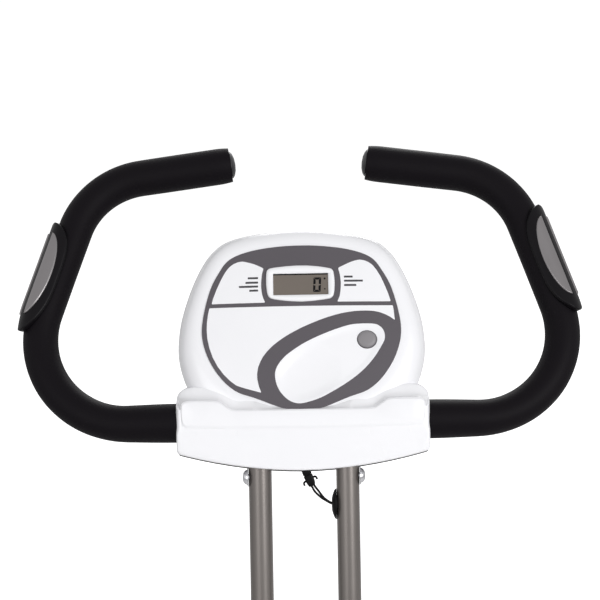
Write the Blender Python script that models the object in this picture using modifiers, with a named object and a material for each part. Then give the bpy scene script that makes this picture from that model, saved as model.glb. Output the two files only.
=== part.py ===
"""Folding X-frame exercise bike, built as an assembly of separate pieces.

Units are metres and +Z is up. The rider faces +Y and +X is the rider's right hand.
The single main leg runs from the front foot up to the saddle. The twin posts run from the
rear foot, past the main leg at the fold pivot, up to the handlebar and the console.
"""
import math

import bmesh
import bpy
from mathutils import Matrix, Vector

# Driving dimensions of the frame, seen from the side
FOOT_REACH = 0.360        # fold pivot to each foot tube, along Y
PIVOT_HEIGHT = 0.470
BAR_HEIGHT = 0.945        # centre of the handlebar tube
POST_LEAN = math.radians(25)
LOOP_LEAN = math.radians(44)
CONSOLE_LEAN = math.radians(40)
BEND_ABOVE_PIVOT = 0.070  # where the posts turn from the leg angle to the post lean
BEND_RADIUS = 0.150
FIT = 0.0003              # running gap between pieces that touch

# Feet
FOOT_TUBE_R = 0.019
FOOT_TUBE_WALL = 0.002
FOOT_HALF = 0.205
CAP_R = 0.027
CAP_FLAT = 0.002          # cut off the underside, so that the cap stands on a flat
CAP_LENGTH = 0.052
CAP_END = 0.018           # how far the cap reaches past the tube
ROLLER_R = 0.020
ROLLER_WIDTH = 0.016
ROLLER_REACH = 0.0490
ROLLER_PIN_R = 0.004
ROLLER_SIDE_GAP = 0.001
ROLLER_LIFT = 0.004       # floor to the underside of the roller
FORK_WALL = 0.004

# Main leg, seat post and saddle
LEG_R = 0.021
LEG_WALL = 0.002
LEG_TOP = 0.250           # pivot to the top of the leg, along the leg
SEAT_POST_R = 0.0138
SEAT_POST_WALL = 0.002
SEAT_POST_BOTTOM = 0.035
SEAT_POST_TOP = 0.345
SEAT_TRAVEL = 0.120
SLEEVE_LENGTH = 0.060
SLEEVE_LIP = 0.004
SLEEVE_R = 0.0184
SLEEVE_BORE_R = 0.0143
SEAT_KNOB_DROP = 0.040    # below the top of the leg
SEAT_KNOB_HEIGHT = 0.022
SEAT_BOSS = 0.008         # how far the boss under the knob stands off the leg
SEAT_HOLE_R = 0.0042
SEAT_HOLES = 6
SADDLE_LENGTH = 0.270
SADDLE_WIDTH = 0.210
SADDLE_NOSE_WIDTH = 0.056
SADDLE_THICK = 0.058
SADDLE_PAN = 0.010
SADDLE_PAN_INSET = 0.007
SADDLE_NECK = (0.044, 0.060, 0.024)  # across, along and down, between the pan and its clamp
SADDLE_OFFSET = (-0.006, 0.030)      # the pan's middle from the top of the seat post, along Y and Z
SADDLE_CLAMP_DOWN = 0.034
SADDLE_CLAMP_TOP = 0.006
SADDLE_CLAMP_WALL = 0.0055
SADDLE_TAIL_RISE = 0.010

# Twin posts and fold pivot
POST_X = 0.0420
POST_R = 0.0111
POST_WALL = 0.0016
POST_TOP_DROP = 0.024     # below the bar centre
STUB_R = 0.0088
STUB_LENGTH = 0.064
STUB_BOLT_DROP = 0.053
STUB_BOLT_R = 0.003
STUB_BOLT_HEAD_R = 0.009
STUB_BOLT_HEAD = 0.0054
PIVOT_BOLT_R = 0.005
PIVOT_TUBE_R = 0.015
PIVOT_TUBE_HALF = 0.0295
PIVOT_BUSH_R = 0.0100
QUADRANT_IN = 0.056
QUADRANT_OUT = 0.088
QUADRANT_THICK = 0.003
QUADRANT_X = 0.0240       # inner face of the slotted plate
SLOT_R = 0.072            # pivot to the centre of the slot
LOCK_BOLT_R = 0.004
LOCK_BOSS = 0.007
LOCK_KNOB_HEIGHT = 0.020
CLAMP_KNOB_R = 0.017
BOSS_R = 0.009
FOLD_ANGLE = math.radians(34)
BRIDGE_R = 0.008
BRIDGE_DOWN = 0.078       # pivot to the bridge, along the posts
NUT_R = 0.0105            # of the pivot's dome nut and bolt head
NUT_DEEP = 0.0075

# Drive
CRANK_Y = 0.135
CRANK_DROP = 0.140        # below the pivot
CRANK_LENGTH = 0.150
CRANK_REST = math.radians(-25)
SHELL_R = 0.0205
BEARING_R = 0.0168
SHELL_HALF = 0.034
AXLE_R = 0.0084
AXLE_HALF = 0.0755
CRANK_INNER = 0.064
CRANK_THICK = 0.012
CRANK_HUB_R = 0.0165
CRANK_EYE_R = 0.0120
WHEEL_Y = 0.260
WHEEL_DROP = 0.090
WHEEL_R = 0.095
WHEEL_HALF = 0.014
PULLEY_R = 0.085
PULLEY_SIDES = 20
WHEEL_PULLEY_R = 0.0115
BELT_X = 0.042
BELT_WIDTH = 0.006
BELT_THICK = 0.0016
FORK_X = 0.0470
FORK_PLATE = 0.003
FORK_Y = 0.270
FORK_DROP = 0.225
FORK_TUBE_R = 0.011
GUSSET_DOWN = 0.268       # pivot to the root of the fork's gusset, along the leg
GUSSET_R = 0.009
WHEEL_AXLE_R = 0.005
MAGNET_PIN_Y = 0.130
MAGNET_PIN_DROP = 0.052
MAGNET_LUG_DOWN = 0.128   # pivot to the root of the magnet arm's lug, along the leg
MAGNET_LUG_X = 0.020
MAGNET_LUG_THICK = 0.004
MAGNET_PIN_END = 0.012
MAGNET_GAP = 0.012
MAGNET_ARM_THICK = 0.005
MAGNET_ARM_SKEW = 0.002   # the arm is this much wider on the side of its lug
MAGNET_HUB_BACK = 0.005

# Housing
HOUSING_HALF = 0.056
HOUSING_WALL = 0.0025
HOUSING_CRANK_R = 0.098
HOUSING_ROOM = 0.0035     # between the magnet arm and the housing
HOUSING_FORK_R = 0.028
KNOB_R = 0.021
KNOB_HEIGHT = 0.024

# Pedals
PEDAL_IN = 0.084
PEDAL_OUT = 0.176
PEDAL_LONG = 0.096
PEDAL_THICK = 0.024
PEDAL_AXLE_R = 0.005
PEDAL_DROP = 0.002        # the body hangs this far below its axle
PEDAL_KEEL = (0.066, 0.034, 0.013)  # weight under the body that keeps the strap on top
STRAP_RISE = 0.052
STRAP_WIDTH = 0.026
STRAP_THICK = 0.0024
STRAP_BEND = 0.030

# Handlebar, measured in the plane of its loops from the centre of the bar
BAR_R = 0.0127
BAR_WALL = 0.0016
FOAM_R = 0.0180
CORNER_LOW = (0.2864, 0.0)
CORNER_HIGH = (0.2124, 0.2506)
BAR_END = (0.0760, 0.2703)
CORNER_LOW_R = 0.089
CORNER_HIGH_R = 0.080
FOAM_START = 0.108        # distance from the middle of the bar to the foam
PLUG_R = 0.0142
PLUG_DOME = 0.006
HOLDER_LOW = 0.092        # height of the sensor's ends in the loop plane
HOLDER_HIGH = 0.212
HOLDER_THICK = 0.0030
PLATE_THICK = 0.0008
HOLDER_SPREAD = (math.radians(34), math.radians(90))  # half its wrap, at its ends and its middle
PLATE_SPREAD = (math.radians(38.5), math.radians(3), math.radians(31))  # near edge, then its widths
PLATE_INSET = 0.012

# Cover over the middle of the bar
COVER_HALF = 0.1205
COVER_SIDE_LOW = 0.030
COVER_MID_LOW = 0.0465
COVER_MID_TOP = 0.0135
COVER_SHOULDER_TOP = 0.0215
COVER_DEPTH = 0.0245
COVER_WALL = 0.0025
COVER_CORNER = 0.0045
COVER_EDGE = 0.004        # how far its rolled edge draws in

# Console, measured in its own plane from the centre of the bar
CONSOLE_HALF = 0.120
CONSOLE_TOP = 0.1885
BAND_HALF = 0.095         # the raised middle of its face
BAND_TOP = 0.170
CONSOLE_RIM = 0.002
CONSOLE_FACE = 0.020
CONSOLE_CROWN = 0.0245
CONSOLE_BACK = -0.028
CONSOLE_WALL = 0.0025
LCD_CENTRE = (0.0, 0.128)
LCD_SIZE = (0.0540, 0.0205)
BUTTON_CENTRE = (0.062, 0.073)
BUTTON_R = 0.0096
BUTTON_PROUD = 0.0022

# Sensor lead, in the plane of the posts
LEAD_R = 0.0018
GROMMET_DROP = 0.0800
GROMMET_R = 0.009
GROMMET_STRETCH = 1.65    # it is an oval, longer along the post
GROMMET_NECK_R = 0.0048
GROMMET_FIT = 0.0004      # the post's hole is this much larger than the grommet's neck
LEAD_PLUG_TOP = (0.0006, -0.0445)
LEAD_PLUG_END = (0.0076, -0.0615)

# The whole bike is shifted along Y so that its footprint is centred on the origin
REAR_REACH = FOOT_REACH + CAP_R
LEG_ANGLE = math.atan2(FOOT_REACH, PIVOT_HEIGHT - CAP_R + CAP_FLAT)
BEND = Vector((0, math.sin(LEG_ANGLE), math.cos(LEG_ANGLE))) * BEND_ABOVE_PIVOT
BAR_Y = BEND.y + (BAR_HEIGHT - PIVOT_HEIGHT - BEND.z) * math.tan(POST_LEAN)
FRONT_REACH = BAR_Y + BAR_END[1] * math.sin(LOOP_LEAN) + FOAM_R
PIVOT = Vector((0, (REAR_REACH - FRONT_REACH) / 2, PIVOT_HEIGHT))
BAR = Vector((0, PIVOT.y + BAR_Y, BAR_HEIGHT))
FOOT_Z = CAP_R - CAP_FLAT
FRONT_FOOT = Vector((0, PIVOT.y + FOOT_REACH, FOOT_Z))
REAR_FOOT = Vector((0, PIVOT.y - FOOT_REACH, FOOT_Z))
CRANK = PIVOT + Vector((0, CRANK_Y, -CRANK_DROP))
WHEEL = PIVOT + Vector((0, WHEEL_Y, -WHEEL_DROP))
FORK = PIVOT + Vector((0, FORK_Y, -FORK_DROP))
MAGNET_PIN = PIVOT + Vector((0, MAGNET_PIN_Y, -MAGNET_PIN_DROP))
HOUSING_WHEEL_R = WHEEL_R + MAGNET_GAP + MAGNET_ARM_THICK + HOUSING_ROOM + HOUSING_WALL
X = Vector((1, 0, 0))
LEG_UP = (PIVOT - FRONT_FOOT).normalized()
LEG_BACK = Vector((0, -LEG_UP.z, LEG_UP.y))
POST_UP = Vector((0, math.sin(POST_LEAN), math.cos(POST_LEAN)))
REAR_UP = (PIVOT - REAR_FOOT).normalized()

FINISHES = {
    "frame_paint": ((0.26, 0.26, 0.27), 0.35, 0.6),
    "chrome": ((0.75, 0.75, 0.76), 0.15, 1.0),
    "steel": ((0.45, 0.45, 0.46), 0.35, 1.0),
    "cast_iron": ((0.10, 0.10, 0.11), 0.6, 0.8),
    "white_plastic": ((0.86, 0.86, 0.87), 0.22, 0.0),
    "black_plastic": ((0.02, 0.02, 0.022), 0.45, 0.0),
    "grey_plastic": ((0.22, 0.22, 0.22), 0.5, 0.0),
    "foam": ((0.015, 0.013, 0.015), 0.85, 0.0),
    "vinyl": ((0.02, 0.02, 0.02), 0.5, 0.0),
    "rubber": ((0.02, 0.02, 0.02), 0.8, 0.0),
    "satin_plate": ((0.42, 0.42, 0.42), 0.35, 0.9),
    "lcd_glass": ((0.20, 0.17, 0.14), 0.15, 0.0),
}


def clear_scene():
    for obj in list(bpy.data.objects):
        bpy.data.objects.remove(obj, do_unlink=True)


def finish(name):
    """A Principled material for one of the bike's finishes."""
    existing = bpy.data.materials.get(name)
    if existing:
        return existing
    colour, roughness, metallic = FINISHES[name]
    mat = bpy.data.materials.new(name)
    mat.use_nodes = True
    shader = mat.node_tree.nodes["Principled BSDF"]
    shader.inputs["Base Color"].default_value = (*colour, 1.0)
    shader.inputs["Roughness"].default_value = roughness
    shader.inputs["Metallic"].default_value = metallic
    return mat


clear_scene()
BIKE = bpy.data.collections.new("folding_exercise_bike")
bpy.context.scene.collection.children.link(BIKE)


def link(obj, name, material):
    """Put an object in the bike's collection under its piece name."""
    for coll in list(obj.users_collection):
        coll.objects.unlink(obj)
    BIKE.objects.link(obj)
    obj.name = name
    obj.data.name = name
    obj.data.materials.clear()
    obj.data.materials.append(finish(material))
    return obj


def object_from(bm, name, material):
    """Make an object of a bmesh, with its faces pointing out."""
    bmesh.ops.remove_doubles(bm, verts=bm.verts, dist=1e-6)
    bmesh.ops.recalc_face_normals(bm, faces=bm.faces)
    mesh = bpy.data.meshes.new(name)
    bm.to_mesh(mesh)
    bm.free()
    obj = bpy.data.objects.new(name, mesh)
    return link(obj, name, material)


def bake(obj):
    """Replace an object's mesh with its evaluated shape, in world space."""
    bpy.context.view_layer.update()
    graph = bpy.context.evaluated_depsgraph_get()
    mesh = bpy.data.meshes.new_from_object(obj.evaluated_get(graph), depsgraph=graph)
    mesh.transform(obj.matrix_world)
    name = obj.name
    material = obj.data.materials[0].name
    bpy.data.objects.remove(obj, do_unlink=True)
    bm = bmesh.new()
    bm.from_mesh(mesh)
    bpy.data.meshes.remove(mesh)
    return object_from(bm, name, material)


def combine(obj, tools, operation):
    """Cut tools from an object, or join them to it, and remove the tools."""
    for tool in tools:
        mod = obj.modifiers.new(operation.lower(), "BOOLEAN")
        mod.operation = operation
        mod.solver = "EXACT"
        mod.object = tool
    result = bake(obj)
    for tool in tools:
        bpy.data.objects.remove(tool, do_unlink=True)
    smooth(result)
    return result


def cut(obj, *tools):
    return combine(obj, tools, "DIFFERENCE")


def join(obj, *tools):
    return combine(obj, tools, "UNION")


def smooth(obj, angle=35):
    obj.data.shade_smooth()
    obj.data.set_sharp_from_angle(angle=math.radians(angle))


def rod(start, end, radius, name="tool", material="steel", sides=16):
    """A solid cylinder between two points."""
    axis = end - start
    bm = bmesh.new()
    bmesh.ops.create_cone(bm, cap_ends=True, segments=sides, radius1=radius, radius2=radius,
                          depth=axis.length)
    turn = axis.to_track_quat("Z", "Y").to_matrix().to_4x4()
    bm.transform(Matrix.Translation((start + end) / 2) @ turn)
    obj = object_from(bm, name, material)
    smooth(obj)
    return obj


def block(centre, size, name="tool", material="steel", turn=0.0, bevel=0.0):
    """A box, turned about X, with its edges rounded if a bevel is given."""
    bm = bmesh.new()
    bmesh.ops.create_cube(bm, size=1.0)
    bmesh.ops.scale(bm, vec=size, verts=bm.verts)
    if bevel:
        bmesh.ops.bevel(bm, geom=bm.edges, offset=bevel, segments=2, affect="EDGES", profile=0.5)
    bm.transform(Matrix.Translation(centre) @ Matrix.Rotation(turn, 4, "X"))
    obj = object_from(bm, name, material)
    smooth(obj)
    return obj


def turned(profile, origin, axis, name="tool", material="steel", sides=16):
    """A lathe-turned piece. The profile is (radius, height) pairs, top to bottom down the outside."""
    mesh = bpy.data.meshes.new(name)
    verts = [(radius, 0, height) for radius, height in profile]
    edges = [(i, i + 1) for i in range(len(verts) - 1)]
    if profile[0][0] > 0:
        edges.append((len(verts) - 1, 0))
    mesh.from_pydata(verts, edges, [])
    obj = bpy.data.objects.new(name, mesh)
    link(obj, name, material)
    screw = obj.modifiers.new("turn", "SCREW")
    screw.axis = "Z"
    screw.steps = sides
    screw.render_steps = sides
    screw.use_merge_vertices = True
    screw.merge_threshold = 1e-5
    turn = axis.to_track_quat("Z", "Y").to_matrix().to_4x4()
    obj.matrix_world = Matrix.Translation(origin) @ turn
    result = bake(obj)
    smooth(result)
    return result


def clear_of(radius, sides):
    """The radius of a faceted bore that clears a round of the given radius."""
    return radius / math.cos(math.pi / sides)


def ring(outer, inner, low, high):
    """The closed profile of a plain ring or sleeve."""
    return [(outer, high), (outer, low), (inner, low), (inner, high)]


def tube(points, radius, name="tool", material="steel", sides=16, wall=0.0):
    """A bent rod, or a pipe with open ends when a wall is given."""
    curve = bpy.data.curves.new(name, "CURVE")
    curve.dimensions = "3D"
    curve.resolution_u = 1
    curve.render_resolution_u = 0
    curve.bevel_depth = radius
    curve.bevel_resolution = (sides - 4) // 2
    curve.use_fill_caps = wall == 0.0
    spline = curve.splines.new("POLY")
    spline.points.add(len(points) - 1)
    for spot, place in zip(spline.points, points):
        spot.co = (*place, 1.0)
    obj = bpy.data.objects.new(name, curve)
    link(obj, name, material)
    if wall:
        mesh_obj = bake(obj)
        thick = mesh_obj.modifiers.new("wall", "SOLIDIFY")
        thick.thickness = wall
        thick.offset = -1.0
        thick.use_even_offset = True
        obj = mesh_obj
    result = bake(obj)
    smooth(result)
    return result


def fillet(corners, radii, steps):
    """A path through corners, each turned into an arc of its own radius."""
    path = [corners[0]]
    for before, corner, after, radius, count in zip(corners, corners[1:], corners[2:], radii, steps):
        inward = (before - corner).normalized()
        onward = (after - corner).normalized()
        half = inward.angle(onward) / 2
        centre = corner + (inward + onward).normalized() * (radius / math.sin(half))
        start = corner + inward * (radius / math.tan(half)) - centre
        axis = start.cross(corner + onward * (radius / math.tan(half)) - centre).normalized()
        sweep = math.pi - 2 * half
        for i in range(count + 1):
            path.append(centre + Matrix.Rotation(sweep * i / count, 3, axis) @ start)
    path.append(corners[-1])
    return path


def closed_spline(knots, per_span):
    """Points on a smooth closed curve through 2D knots."""
    points = []
    count = len(knots)
    for i in range(count):
        p0, p1, p2, p3 = (Vector(knots[(i + k) % count]) for k in (-1, 0, 1, 2))
        for j in range(per_span):
            t = j / per_span
            points.append(0.5 * (2 * p1 + (p2 - p0) * t + (2 * p0 - 5 * p1 + 4 * p2 - p3) * t * t
                                 + (3 * p1 - p0 - 3 * p2 + p3) * t ** 3))
    return points


def mirrored_outline(half):
    """Close a right-hand half outline, bottom to top, with its mirror image."""
    left = [(-u, v) for u, v in reversed(half) if abs(u) > 1e-9]
    return list(half) + left


def hull(circles, steps=48):
    """The outline of a band drawn tight round circles (y, z, radius), anticlockwise."""
    spots = []
    for y, z, radius in circles:
        for i in range(steps):
            angle = 2 * math.pi * i / steps
            spots.append((y + radius * math.cos(angle), z + radius * math.sin(angle)))
    spots.sort()

    def chain(seq):
        out = []
        for spot in seq:
            while len(out) > 1:
                (ay, az), (by, bz) = out[-2], out[-1]
                if (by - ay) * (spot[1] - az) - (bz - az) * (spot[0] - ay) > 1e-12:
                    break
                out.pop()
            out.append(spot)
        return out[:-1]

    return [Vector(spot) for spot in chain(spots) + chain(spots[::-1])]


def inset(outline, distance):
    """Move an anticlockwise outline inward by a distance."""
    moved = []
    count = len(outline)
    for i, point in enumerate(outline):
        before = (Vector(point) - Vector(outline[i - 1])).normalized()
        after = (Vector(outline[(i + 1) % count]) - Vector(point)).normalized()
        bisector = Vector((-before.y - after.y, before.x + after.x)).normalized()
        stretch = max(0.5, bisector.dot(Vector((-before.y, before.x))))
        moved.append(Vector(point) + bisector * (distance / stretch))
    return moved


def loft(rings, name, material, closed=False):
    """Skin rings of points. The ends are capped, or joined to each other when closed."""
    bm = bmesh.new()
    rows = [[bm.verts.new(point) for point in ring_points] for ring_points in rings]
    count = len(rows[0])
    pairs = list(zip(rows, rows[1:]))
    if closed:
        pairs.append((rows[-1], rows[0]))
    for low, high in pairs:
        for i in range(count):
            j = (i + 1) % count
            bm.faces.new((low[i], low[j], high[j], high[i]))
    if not closed:
        bm.faces.new(rows[0][::-1])
        bm.faces.new(rows[-1])
    obj = object_from(bm, name, material)
    smooth(obj)
    return obj


def shell(outline, profile, wall, place, name, material):
    """An open-backed shell. Profile rows are (height, inset) from the rim to the flat top."""
    sign = 1 if profile[-1][0] > profile[0][0] else -1
    outer = [[place(p.x, p.y, height) for p in inset(outline, step)] for height, step in profile]
    inner = []
    for k, (height, step) in enumerate(profile):
        if k == 1:
            continue
        drop = 0.0 if k == 0 else wall * sign
        inner.append([place(p.x, p.y, height - drop) for p in inset(outline, step + wall)])
    return loft(outer[::-1] + inner, name, material)


def prism(outline, low, high, place, name="tool", material="steel"):
    """A flat outline pushed through from one height to another."""
    rings = [[place(p[0], p[1], height) for p in outline] for height in (low, high)]
    return loft(rings, name, material)


def band(outer, inner, low, high, place, name, material):
    """A closed loop of flat strip, such as a belt."""
    rings = [[place(p[0], p[1], h) for p in edge] for edge, h in
             ((outer, low), (outer, high), (inner, high), (inner, low))]
    return loft(rings, name, material, closed=True)


def mirror_to_left(obj, name):
    """The left-hand twin of a right-hand piece."""
    bm = bmesh.new()
    bm.from_mesh(obj.data)
    bm.transform(Matrix.Diagonal((-1, 1, 1, 1)))
    return_obj = object_from(bm, name, obj.data.materials[0].name)
    smooth(return_obj)
    return return_obj


def frame_at(origin, lean):
    """Map (across, up, toward the rider) in a leaning plane to the world."""
    up = Vector((0, math.sin(lean), math.cos(lean)))
    out = Vector((0, -math.cos(lean), math.sin(lean)))

    def place(u, v, n=0.0):
        return origin + X * u + up * v + out * n

    return place


def side_view(y, z, x=0.0):
    """Map a side-view outline, whose thickness runs along X, to the world."""
    return Vector((x, y, z))


POST_PLANE = frame_at(BAR, POST_LEAN)
LOOP_PLANE = frame_at(BAR, LOOP_LEAN)
CONSOLE_PLANE = frame_at(BAR, CONSOLE_LEAN)
LOOP_OUT = LOOP_PLANE(0, 0, 1) - BAR


def make_feet():
    """Foot tubes and their end caps. The front caps carry the transport rollers."""
    for where, foot in (("front", FRONT_FOOT), ("rear", REAR_FOOT)):
        tube([foot - X * FOOT_HALF, foot + X * FOOT_HALF], FOOT_TUBE_R,
             f"{where}_stabiliser", "frame_paint", 16, FOOT_TUBE_WALL)
        cap_in = FOOT_HALF + CAP_END - CAP_LENGTH
        bore = FOOT_TUBE_R + FIT
        profile = [(0, CAP_LENGTH), (CAP_R - 0.006, CAP_LENGTH), (CAP_R - 0.0015, CAP_LENGTH - 0.004),
                   (CAP_R, CAP_LENGTH - 0.012), (CAP_R, 0), (bore, 0),
                   (bore, CAP_LENGTH - CAP_END + FIT), (0, CAP_LENGTH - CAP_END + FIT)]
        cap = turned(profile, foot + X * cap_in, X, f"{where}_cap_right", "black_plastic")
        if where == "front":
            cap = add_roller_fork(cap, foot)
            cap = cut(cap, rod(foot, foot + X * (FOOT_HALF + FIT), clear_of(bore, 16)))
        floor_cut = block(Vector((foot.x + FOOT_HALF, foot.y, -0.05)), (0.3, 0.2, 0.1))
        cap = cut(cap, floor_cut)
        mirror_to_left(cap, f"{where}_cap_left")
    roller = roller_centre()
    wheel = [(ROLLER_R - 0.0015, ROLLER_WIDTH / 2), (ROLLER_R, ROLLER_WIDTH / 2 - 0.0015),
             (ROLLER_R, 0.0015 - ROLLER_WIDTH / 2), (ROLLER_R - 0.0015, -ROLLER_WIDTH / 2),
             (ROLLER_PIN_R + FIT, -ROLLER_WIDTH / 2), (ROLLER_PIN_R + FIT, ROLLER_WIDTH / 2)]
    right = turned(wheel, roller, X, "roller_right", "rubber", 12)
    mirror_to_left(right, "roller_left")


def roller_centre():
    cap_mid = FOOT_HALF + CAP_END - CAP_LENGTH / 2
    return Vector((cap_mid, FRONT_FOOT.y + ROLLER_REACH, ROLLER_R + ROLLER_LIFT))


def add_roller_fork(cap, foot):
    """Two lugs moulded on the front cap, with the pin that the roller turns on."""
    roller = roller_centre()
    inner = ROLLER_WIDTH / 2 + ROLLER_SIDE_GAP
    lugs = []
    for side in (-1, 1):
        outline = hull([(foot.y + FOOT_TUBE_R, roller.z, 0.010), (roller.y, roller.z, 0.009)], 14)
        near = roller.x + side * inner
        far = roller.x + side * (inner + FORK_WALL)
        lugs.append(prism(outline, min(near, far), max(near, far), side_view))
    pin = rod(roller - X * (inner + 0.001), roller + X * (inner + 0.001), ROLLER_PIN_R, sides=12)
    return join(cap, *lugs, pin)


def make_main_leg():
    """The single leg from the front foot to the seat clamp, with all that is welded to it."""
    leg = tube([FRONT_FOOT, PIVOT + LEG_UP * LEG_TOP], LEG_R, "main_leg", "frame_paint", 16, LEG_WALL)
    leg = cut(leg, rod(FRONT_FOOT - X * 0.06, FRONT_FOOT + X * 0.06, FOOT_TUBE_R + FIT))
    pivot_tube = rod(PIVOT - X * PIVOT_TUBE_HALF, PIVOT + X * PIVOT_TUBE_HALF, PIVOT_TUBE_R)
    crank_shell = rod(CRANK - X * SHELL_HALF, CRANK + X * SHELL_HALF, SHELL_R)
    fork_tube = rod(FORK - X * (FORK_X + 0.001), FORK + X * (FORK_X + 0.001), FORK_TUBE_R)
    gusset = tube([PIVOT - LEG_UP * GUSSET_DOWN, FORK], GUSSET_R, sides=10)
    leg = join(leg, pivot_tube, crank_shell, fork_tube, gusset)
    plates = []
    for side in (-1, 1):
        outline = hull([(FORK.y, FORK.z, 0.014), (WHEEL.y, WHEEL.z, 0.013)], 16)
        near = side * FORK_X
        far = side * (FORK_X + FORK_PLATE)
        plates.append(prism(outline, min(near, far), max(near, far), side_view))
    lug_root = PIVOT - LEG_UP * MAGNET_LUG_DOWN
    lug = prism(hull([(MAGNET_PIN.y, MAGNET_PIN.z, 0.009), (lug_root.y, lug_root.z, 0.012)], 12),
                -MAGNET_LUG_X, MAGNET_LUG_THICK - MAGNET_LUG_X, side_view)
    pin = rod(MAGNET_PIN + X * (MAGNET_LUG_THICK / 2 - MAGNET_LUG_X), MAGNET_PIN + X * MAGNET_PIN_END,
              WHEEL_AXLE_R, sides=12)
    leg = join(leg, *plates, lug, pin)
    lock_spot = lock_centre()
    boss = rod(lock_spot - X * (LEG_R + LOCK_BOSS), lock_spot + X * (QUADRANT_X - 2 * FIT), BOSS_R)
    knob_spot = seat_knob_spot()
    seat_boss = rod(knob_spot + LEG_BACK * (SLEEVE_R + 5 * FIT), knob_spot + LEG_BACK * (LEG_R + SEAT_BOSS),
                    BOSS_R)
    leg = join(leg, boss, seat_boss)
    reach = X * 0.07
    return cut(leg,
               rod(PIVOT - reach, PIVOT + reach, clear_of(PIVOT_BUSH_R + FIT, 16)),
               rod(CRANK - reach, CRANK + reach, clear_of(BEARING_R + FIT, 16)),
               rod(WHEEL - reach, WHEEL + reach, WHEEL_AXLE_R + FIT),
               rod(lock_spot - reach, lock_spot + reach, LOCK_BOLT_R + FIT, sides=12),
               rod(knob_spot, knob_spot + LEG_BACK * 0.05, LOCK_BOLT_R + FIT, sides=12))


def lock_centre():
    """Where the clamp bolt crosses the leg, below the pivot."""
    return PIVOT - LEG_UP * SLOT_R


def seat_knob_spot():
    return PIVOT + LEG_UP * (LEG_TOP - SEAT_KNOB_DROP)


def make_pivot():
    """Pivot bolt, its dome nut, and the long bush that spaces the posts and carries the leg."""
    spacer = POST_X - POST_R - FIT
    turned(ring(PIVOT_BUSH_R, PIVOT_BOLT_R + FIT, -spacer, spacer), PIVOT, X, "pivot_bush", "steel", 12)
    face = POST_X + POST_R + FIT
    end = face + NUT_DEEP
    bolt = [(0, end - 0.001), (PIVOT_BOLT_R, end - 0.001), (PIVOT_BOLT_R, -face), (NUT_R, -face),
            (NUT_R, -face - 0.003), (NUT_R * 0.76, -face - 0.0058), (0, -face - 0.0066)]
    turned(bolt, PIVOT, X, "pivot_bolt", "chrome", 12)
    nut = [(0, end + 0.003), (NUT_R * 0.57, end + 0.002), (NUT_R * 0.84, face + 0.006), (NUT_R, face + 0.002),
           (NUT_R, face), (PIVOT_BOLT_R + FIT, face), (PIVOT_BOLT_R + FIT, end), (0, end)]
    turned(nut, PIVOT, X, "pivot_nut", "chrome", 12)


def star_knob(base, axis, radius, height, lobes, name, shank_r, shank_length):
    """A grip knob with finger scallops, and its threaded shank below the base."""
    profile = [(0, height), (radius * 0.80, height), (radius, height - 0.004),
               (radius * 0.9, height * 0.2), (radius * 0.55, 0.0),
               (shank_r, 0.0), (shank_r, -shank_length), (0, -shank_length)]
    knob = turned(profile, base, axis, name, "black_plastic", 18)
    side = axis.orthogonal().normalized()
    cutters = []
    for i in range(lobes):
        out = Matrix.Rotation(2 * math.pi * i / lobes, 3, axis) @ side
        spot = base + out * (radius * 1.22)
        cutters.append(rod(spot + axis * 0.0005, spot + axis * (height + 0.01), radius * 0.36, sides=6))
    return cut(knob, *cutters)


def make_fold_lock():
    """The clamp knob, whose bolt crosses the leg and the slot of the quadrant."""
    spot = lock_centre()
    base = spot - X * (LEG_R + LOCK_BOSS + FIT)
    length = LEG_R + LOCK_BOSS + QUADRANT_X + QUADRANT_THICK + 0.001
    knob = star_knob(base, -X, CLAMP_KNOB_R, LOCK_KNOB_HEIGHT, 6, "fold_knob", LOCK_BOLT_R, length)
    head = turned([(0, 0.0032), (0.006, 0.0026), (0.008, 0.0008), (0.008, -0.0002), (0, -0.0002)],
                  base + X * length, X)
    return join(knob, head)


def make_quadrant():
    """Cross tube between the posts with the slotted plate that sets both fold positions."""
    down = -REAR_UP
    spot = PIVOT + down * BRIDGE_DOWN
    reach = POST_X - POST_R * 0.2
    bridge = rod(spot - X * reach, spot + X * reach, BRIDGE_R, "quadrant_bridge", "frame_paint")
    start = math.atan2(down.z, down.y) - math.radians(7)
    sweep = math.acos(REAR_UP.dot(LEG_UP)) + math.radians(16)
    steps = 10
    spots = [start + sweep * i / steps for i in range(steps + 1)]
    outline = []
    for radius, turns in ((QUADRANT_OUT, spots), (QUADRANT_IN, spots[::-1])):
        outline += [(PIVOT.y + radius * math.cos(a), PIVOT.z + radius * math.sin(a)) for a in turns]
    plate = prism(outline, QUADRANT_X, QUADRANT_X + QUADRANT_THICK, side_view)
    bridge = join(bridge, plate)
    posts = [rod(spot + X * POST_X * s - REAR_UP * 0.03, spot + X * POST_X * s + REAR_UP * 0.03,
                 clear_of(POST_R + FIT, 16)) for s in (-1, 1)]
    return cut(bridge, slot_cutter(), *posts)


def slot_cutter():
    """The slot in the quadrant, an arc about the pivot with round ends."""
    half = LOCK_BOLT_R + 2 * FIT
    first = math.atan2(-LEG_UP.z, -LEG_UP.y) - FOLD_ANGLE
    steps = 6
    turns = 5
    spots = [(SLOT_R + half, first + FOLD_ANGLE * i / steps, 0.0) for i in range(steps + 1)]
    spots += [(SLOT_R, first + FOLD_ANGLE, math.pi * i / turns) for i in range(1, turns)]
    spots += [(SLOT_R - half, first + FOLD_ANGLE * i / steps, 0.0) for i in range(steps, -1, -1)]
    spots += [(SLOT_R, first, math.pi + math.pi * i / turns) for i in range(1, turns)]
    outline = []
    for radius, a, turn in spots:
        reach = half if radius == SLOT_R else 0.0
        outline.append((PIVOT.y + radius * math.cos(a) + reach * math.cos(a + turn),
                        PIVOT.z + radius * math.sin(a) + reach * math.sin(a + turn)))
    return prism(outline, QUADRANT_X - 3 * QUADRANT_THICK, QUADRANT_X + 4 * QUADRANT_THICK, side_view)


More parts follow.
